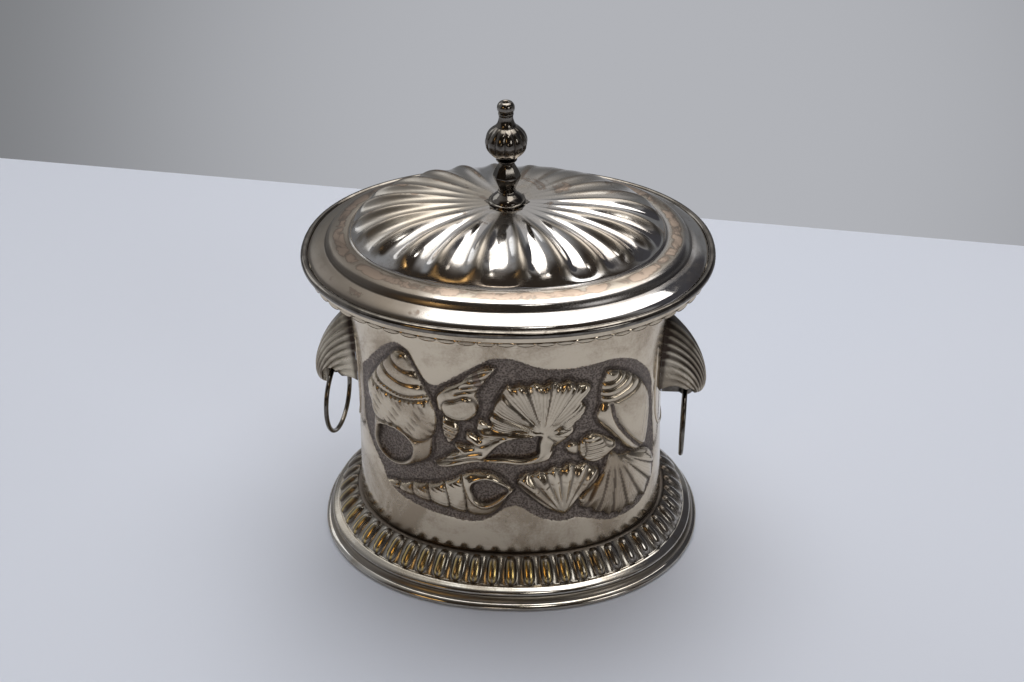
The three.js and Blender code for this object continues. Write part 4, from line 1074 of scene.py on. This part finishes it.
def lug_point(fan, share, inset):
    """Point of the lug at fan (-1 to 1) round its spread and share (0 to 1) out from the beak: a cubic
    Bezier curve from the beak by a belly and a back to the margin on the wall. Inset moves it inwards."""
    turn, side = np.abs(fan), np.sign(fan)
    crown, flank = np.cos(turn * np.pi / 2), np.sin(turn * np.pi / 2)
    wide, reach, rise = LUG_WIDTH / 2 - inset, LUG_REACH - inset, LUG_RISE - inset
    y = side * wide * np.sqrt(1 - (1 - turn) ** 3)
    z = LUG_BEAK + rise - (rise - LUG_SIDE_RISE) * turn**1.3
    low = LUG_BEAK + 0.6 * inset
    level = 0 * y
    corners = [
        (WAIST_HALF + reach + level, level, low + level),
        (WAIST_HALF + reach * (0.75 + 0.72 * crown), side * 0.72 * wide * flank, low + 0.08 * rise + level),
        (
            WAIST_HALF + reach * (0.45 + 0.61 * crown),
            side * 0.96 * wide * flank,
            LUG_BEAK + rise * (0.33 + 0.375 * crown),
        ),
        (wall_x(y, z) + 0.1, y, z),
    ]
    beak, belly, back, margin = (np.stack(corner, -1) for corner in corners)
    t = share[..., None]
    return (1 - t) ** 3 * beak + 3 * t * (1 - t) ** 2 * belly + 3 * t * t * (1 - t) * back + t**3 * margin


fan, share = np.meshgrid(np.linspace(-1, 1, RIBS * 10 + 1), np.linspace(0, 1, 34), indexing="ij")
rib = np.abs(np.sin(np.pi * (fan + 1) / 2 * RIBS)) ** 0.8
heart = np.array([WAIST_HALF, 0, LUG_BEAK + LUG_RISE / 2])
outside = lug_point(fan, share, 0.0)
away = (outside - heart) / np.linalg.norm(outside - heart, axis=-1)[..., None]
outside = outside + away * ((1.0 * rib - 0.25) * np.sin(np.pi * share**0.9))[..., None]
hollow_side = lug_point(fan, share, LUG_THICKNESS)
columns, rows = fan.shape[0], 2 * fan.shape[1]
k = np.arange(fan.shape[1] - 1)
first_end = np.stack([k, k + 1, rows - 2 - k, rows - 1 - k], -1)
lug_faces = [grid_faces(columns, rows, False, True), first_end, first_end[:, ::-1] + (columns - 1) * rows]
beside_eye = np.abs(outside[..., 1]) > EYE_HALF
upper = (1 - step(np.abs(fan), 0.50, 0.78)) * step(share, 0.15, 0.45)
low = 0.40 * (1 - rib) ** 1.1 * np.sin(np.pi * share**0.8) ** 0.4
for side, turned_by, lug_painted_shade in (("right", 1.0, 0.95), ("left", half_turn, 0.55)):
    eye = np.array([WAIST_HALF + EYE_REACH, EYE_HEIGHTS[side]])
    layers = []
    for layer in (outside, hollow_side):
        from_eye = layer[..., [0, 2]] - eye
        gap = np.linalg.norm(from_eye, axis=-1)[..., None]
        pushed = eye + from_eye / np.maximum(gap, 1e-6) * np.maximum(gap, EYE_ROOM)
        arch = np.sqrt(np.clip(1 - (from_eye[..., 0] / ARCH_HALF) ** 2, 0, None))
        arch = eye[1] - ARCH_DROP + ARCH_RISE * arch
        beside = np.abs(layer[..., 1]) > EYE_HALF
        under_arch = beside & (np.abs(from_eye[..., 0]) < ARCH_HALF) & (layer[..., 2] < arch)
        moved = layer.copy()
        moved[..., [0, 2]] = np.where(beside[..., None], pushed, layer[..., [0, 2]])
        moved[..., 0] = np.where(under_arch, layer[..., 0], moved[..., 0])
        moved[..., 2] = np.where(under_arch, arch, moved[..., 2])
        layers.append(moved)
    points = np.concatenate([layers[0], layers[1][:, ::-1]], axis=1)
    # Painted shade: dark folds between the ribs, a dark crown with lighter ribs that is deeper on the right
    # lug, a dark line at the wall, and painted shadow round the eye and over the hollow side.
    dark = low + (lug_painted_shade * (1 - 0.9 * rib**5) - low) * upper + 0.8 * step(share, 0.92, 0.98)
    from_hole = np.linalg.norm(outside[..., [0, 2]] - eye + [3.5, 1.5], axis=-1)
    dark = np.clip(np.maximum(dark, 0.92 * beside_eye * (1 - step(from_hole, 4.0, 6.0))), 0, 1)
    dark = np.concatenate([dark, np.full(dark.shape, 0.75)], axis=1)
    make_piece(
        f"{side}_ribbed_lug", (points * turned_by, lug_faces), lug_plate, "box", [f"{side}_shell_lug"],
        {"cut_and_painted_shade": dark}, 60,
    )

# The drop rings: round wire bent to a ring, closed through the bored eye inside each lug and black with
# tarnish. Each hangs turned by a few degrees.
RING_HALF = 19.0
RING_WIRE = 1.2
RING_TURNS = {"right": -4.0, "left": -8.0}
u, v = np.meshgrid(turns(128), turns(20), indexing="ij")
around, across = RING_HALF + RING_WIRE * np.cos(v), RING_WIRE * np.sin(v)
for side, turned_by in (("right", 1.0), ("left", half_turn)):
    swing = np.radians(RING_TURNS[side])
    along = around * np.sin(u)
    x, y = across * np.cos(swing) - along * np.sin(swing), across * np.sin(swing) + along * np.cos(swing)
    z = around * np.cos(u) - RING_HALF + EYE_HEIGHTS[side]
    points = np.stack([x + WAIST_HALF + EYE_REACH, y, z], -1) * turned_by
    make_piece(
        f"{side}_drop_wire", (points, [grid_faces(*u.shape)]), dark_plate, f"{side}_drop_ring",
        [f"{side}_ring"],
    )

# Small solids that stay as they are: the flat floor, the ring eyes and the finial's stud, washer and nut.
for node, finish in (
    ("body_floor", satin_plate), ("right_ring_eye", dark_plate), ("left_ring_eye", dark_plate),
    ("finial_stud", satin_plate), ("finial_washer", satin_plate), ("finial_nut", satin_plate),
):
    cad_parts[node].data.materials.clear()
    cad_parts[node].data.materials.append(finish)

# The setting: a pale matt table top, soft light, a room to be mirrored and the photograph's viewpoint.
FOCAL_PIXELS, PHOTO_WIDTH = 1340, 1024
SENSOR = 36
table_paint = bpy.data.materials.new("pale_table")
table_paint.use_nodes = True
paint = table_paint.node_tree.nodes["Principled BSDF"]
paint.inputs["Base Color"].default_value = (0.62, 0.655, 0.745, 1)
paint.inputs["Roughness"].default_value = 0.7
mesh = bpy.data.meshes.new("table_top")
mesh.from_pydata([(-4, -4, 0), (4, -4, 0), (4, -0.174, 0), (-4, 0.857, 0)], [], [(0, 1, 2, 3)])
mesh.materials.append(table_paint)
table_top = bpy.data.objects.new("table_top", mesh)
bpy.context.scene.collection.objects.link(table_top)


def set_up(name, data, place, right, up, back):
    """A lamp or camera at a place in metres, with the directions of its three axes as a matrix's columns."""
    holder = bpy.data.objects.new(name, data)
    bpy.context.scene.collection.objects.link(holder)
    columns = np.stack([right, up, back, place], -1)
    holder.matrix_world = Matrix([*columns.tolist(), (0, 0, 0, 1)])
    return holder


def soft_light(name, place, aim, size, power, tint):
    """A square area lamp at a place in metres that faces the aim."""
    lamp = bpy.data.lights.new(name, "AREA")
    lamp.size = size
    lamp.energy = power
    lamp.color = tint
    forward = np.array(aim, float) - np.array(place, float)
    forward /= np.linalg.norm(forward)
    right = np.cross(forward, [0.02, 0.01, 1.0])
    right /= np.linalg.norm(right)
    set_up(name, lamp, np.array(place), right, np.cross(right, forward), -forward)


soft_light("ceiling_light", (0.12, 0.20, 1.0), (0, 0, 0.1), 0.8, 5.2, (1.0, 0.98, 0.96))
soft_light("window_light", (-1.1, 0.8, 0.9), (0, 0, 0.1), 0.7, 1.8, (0.92, 0.96, 1.0))


def room_world():
    """The room round the table, by direction. Each patch covers what is laid before it, and is full where
    the cosine of the angle from its middle reaches the second of its two numbers."""
    world = bpy.data.worlds.new("room")
    world.use_nodes = True
    tree = world.node_tree
    place = add_node(tree, "TexCoord").outputs["Generated"]
    seen = (0.20, 0.205, 0.215)
    for middle, begins, full, color in (
        ((0.030, 0.900, -0.435), 0.88, 1.0, (0.44, 0.45, 0.48)),  # glow behind the table
        ((0.0, 0.0, 1.0), 0.30, 0.50, (0.56, 0.56, 0.57)),  # pale ceiling
        ((0.0, -1.0, 0.0), -0.25, 0.45, (0.040, 0.032, 0.026)),  # dim room at the front
        ((-0.9, 0.1, 0.35), 0.78, 0.95, (0.32, 0.33, 0.35)),  # window's glow at the left
        ((-0.04, 0.309, 0.951), 0.890, 0.905, (1.7, 1.7, 1.66)),  # bright patch overhead
        ((0.70, 0.42, 0.58), 0.84, 0.90, (0.07, 0.07, 0.08)),  # dark patch, high at the right
        ((0.64, -0.64, 0.42), 0.982, 0.990, (2.8, 2.85, 2.9)),  # small window at the right
        ((0.12, -0.44, 0.89), 0.996, 0.998, (4.5, 4.4, 4.2)),  # ceiling lamp
        ((-0.50, -0.72, 0.47), 0.990, 0.995, (2.4, 1.5, 0.6)),  # warm lamp at the left
        ((-0.08, -0.95, 0.20), 0.995, 0.998, (2.2, 1.9, 1.6)),  # low lamp at the front
    ):
        aim = np.array(middle) / np.linalg.norm(middle)
        cosine = add_node(tree, "VectorMath", {0: place, 1: aim}, operation="DOT_PRODUCT").outputs["Value"]
        seen = mix_colors(tree, smooth_rise(tree, cosine, begins, full), seen, color)
    tree.links.new(seen, tree.nodes["Background"].inputs["Color"])
    return world


bpy.context.scene.world = room_world()
bpy.context.scene.view_settings.view_transform = "Standard"

camera = bpy.data.cameras.new("photo_view")
camera.sensor_width = SENSOR
camera.lens = FOCAL_PIXELS / PHOTO_WIDTH * SENSOR
right = np.array([0.99772964, 0.06665124, -0.00965302])
up = np.array([-0.0296701, 0.56369307, 0.82545128])
place = np.array([42.66, -551.95, 486.7]) / 1000 - 0.0006 * right
bpy.context.scene.camera = set_up("photo_view", camera, place, right, up, np.cross(right, up))

low, high = cad_box
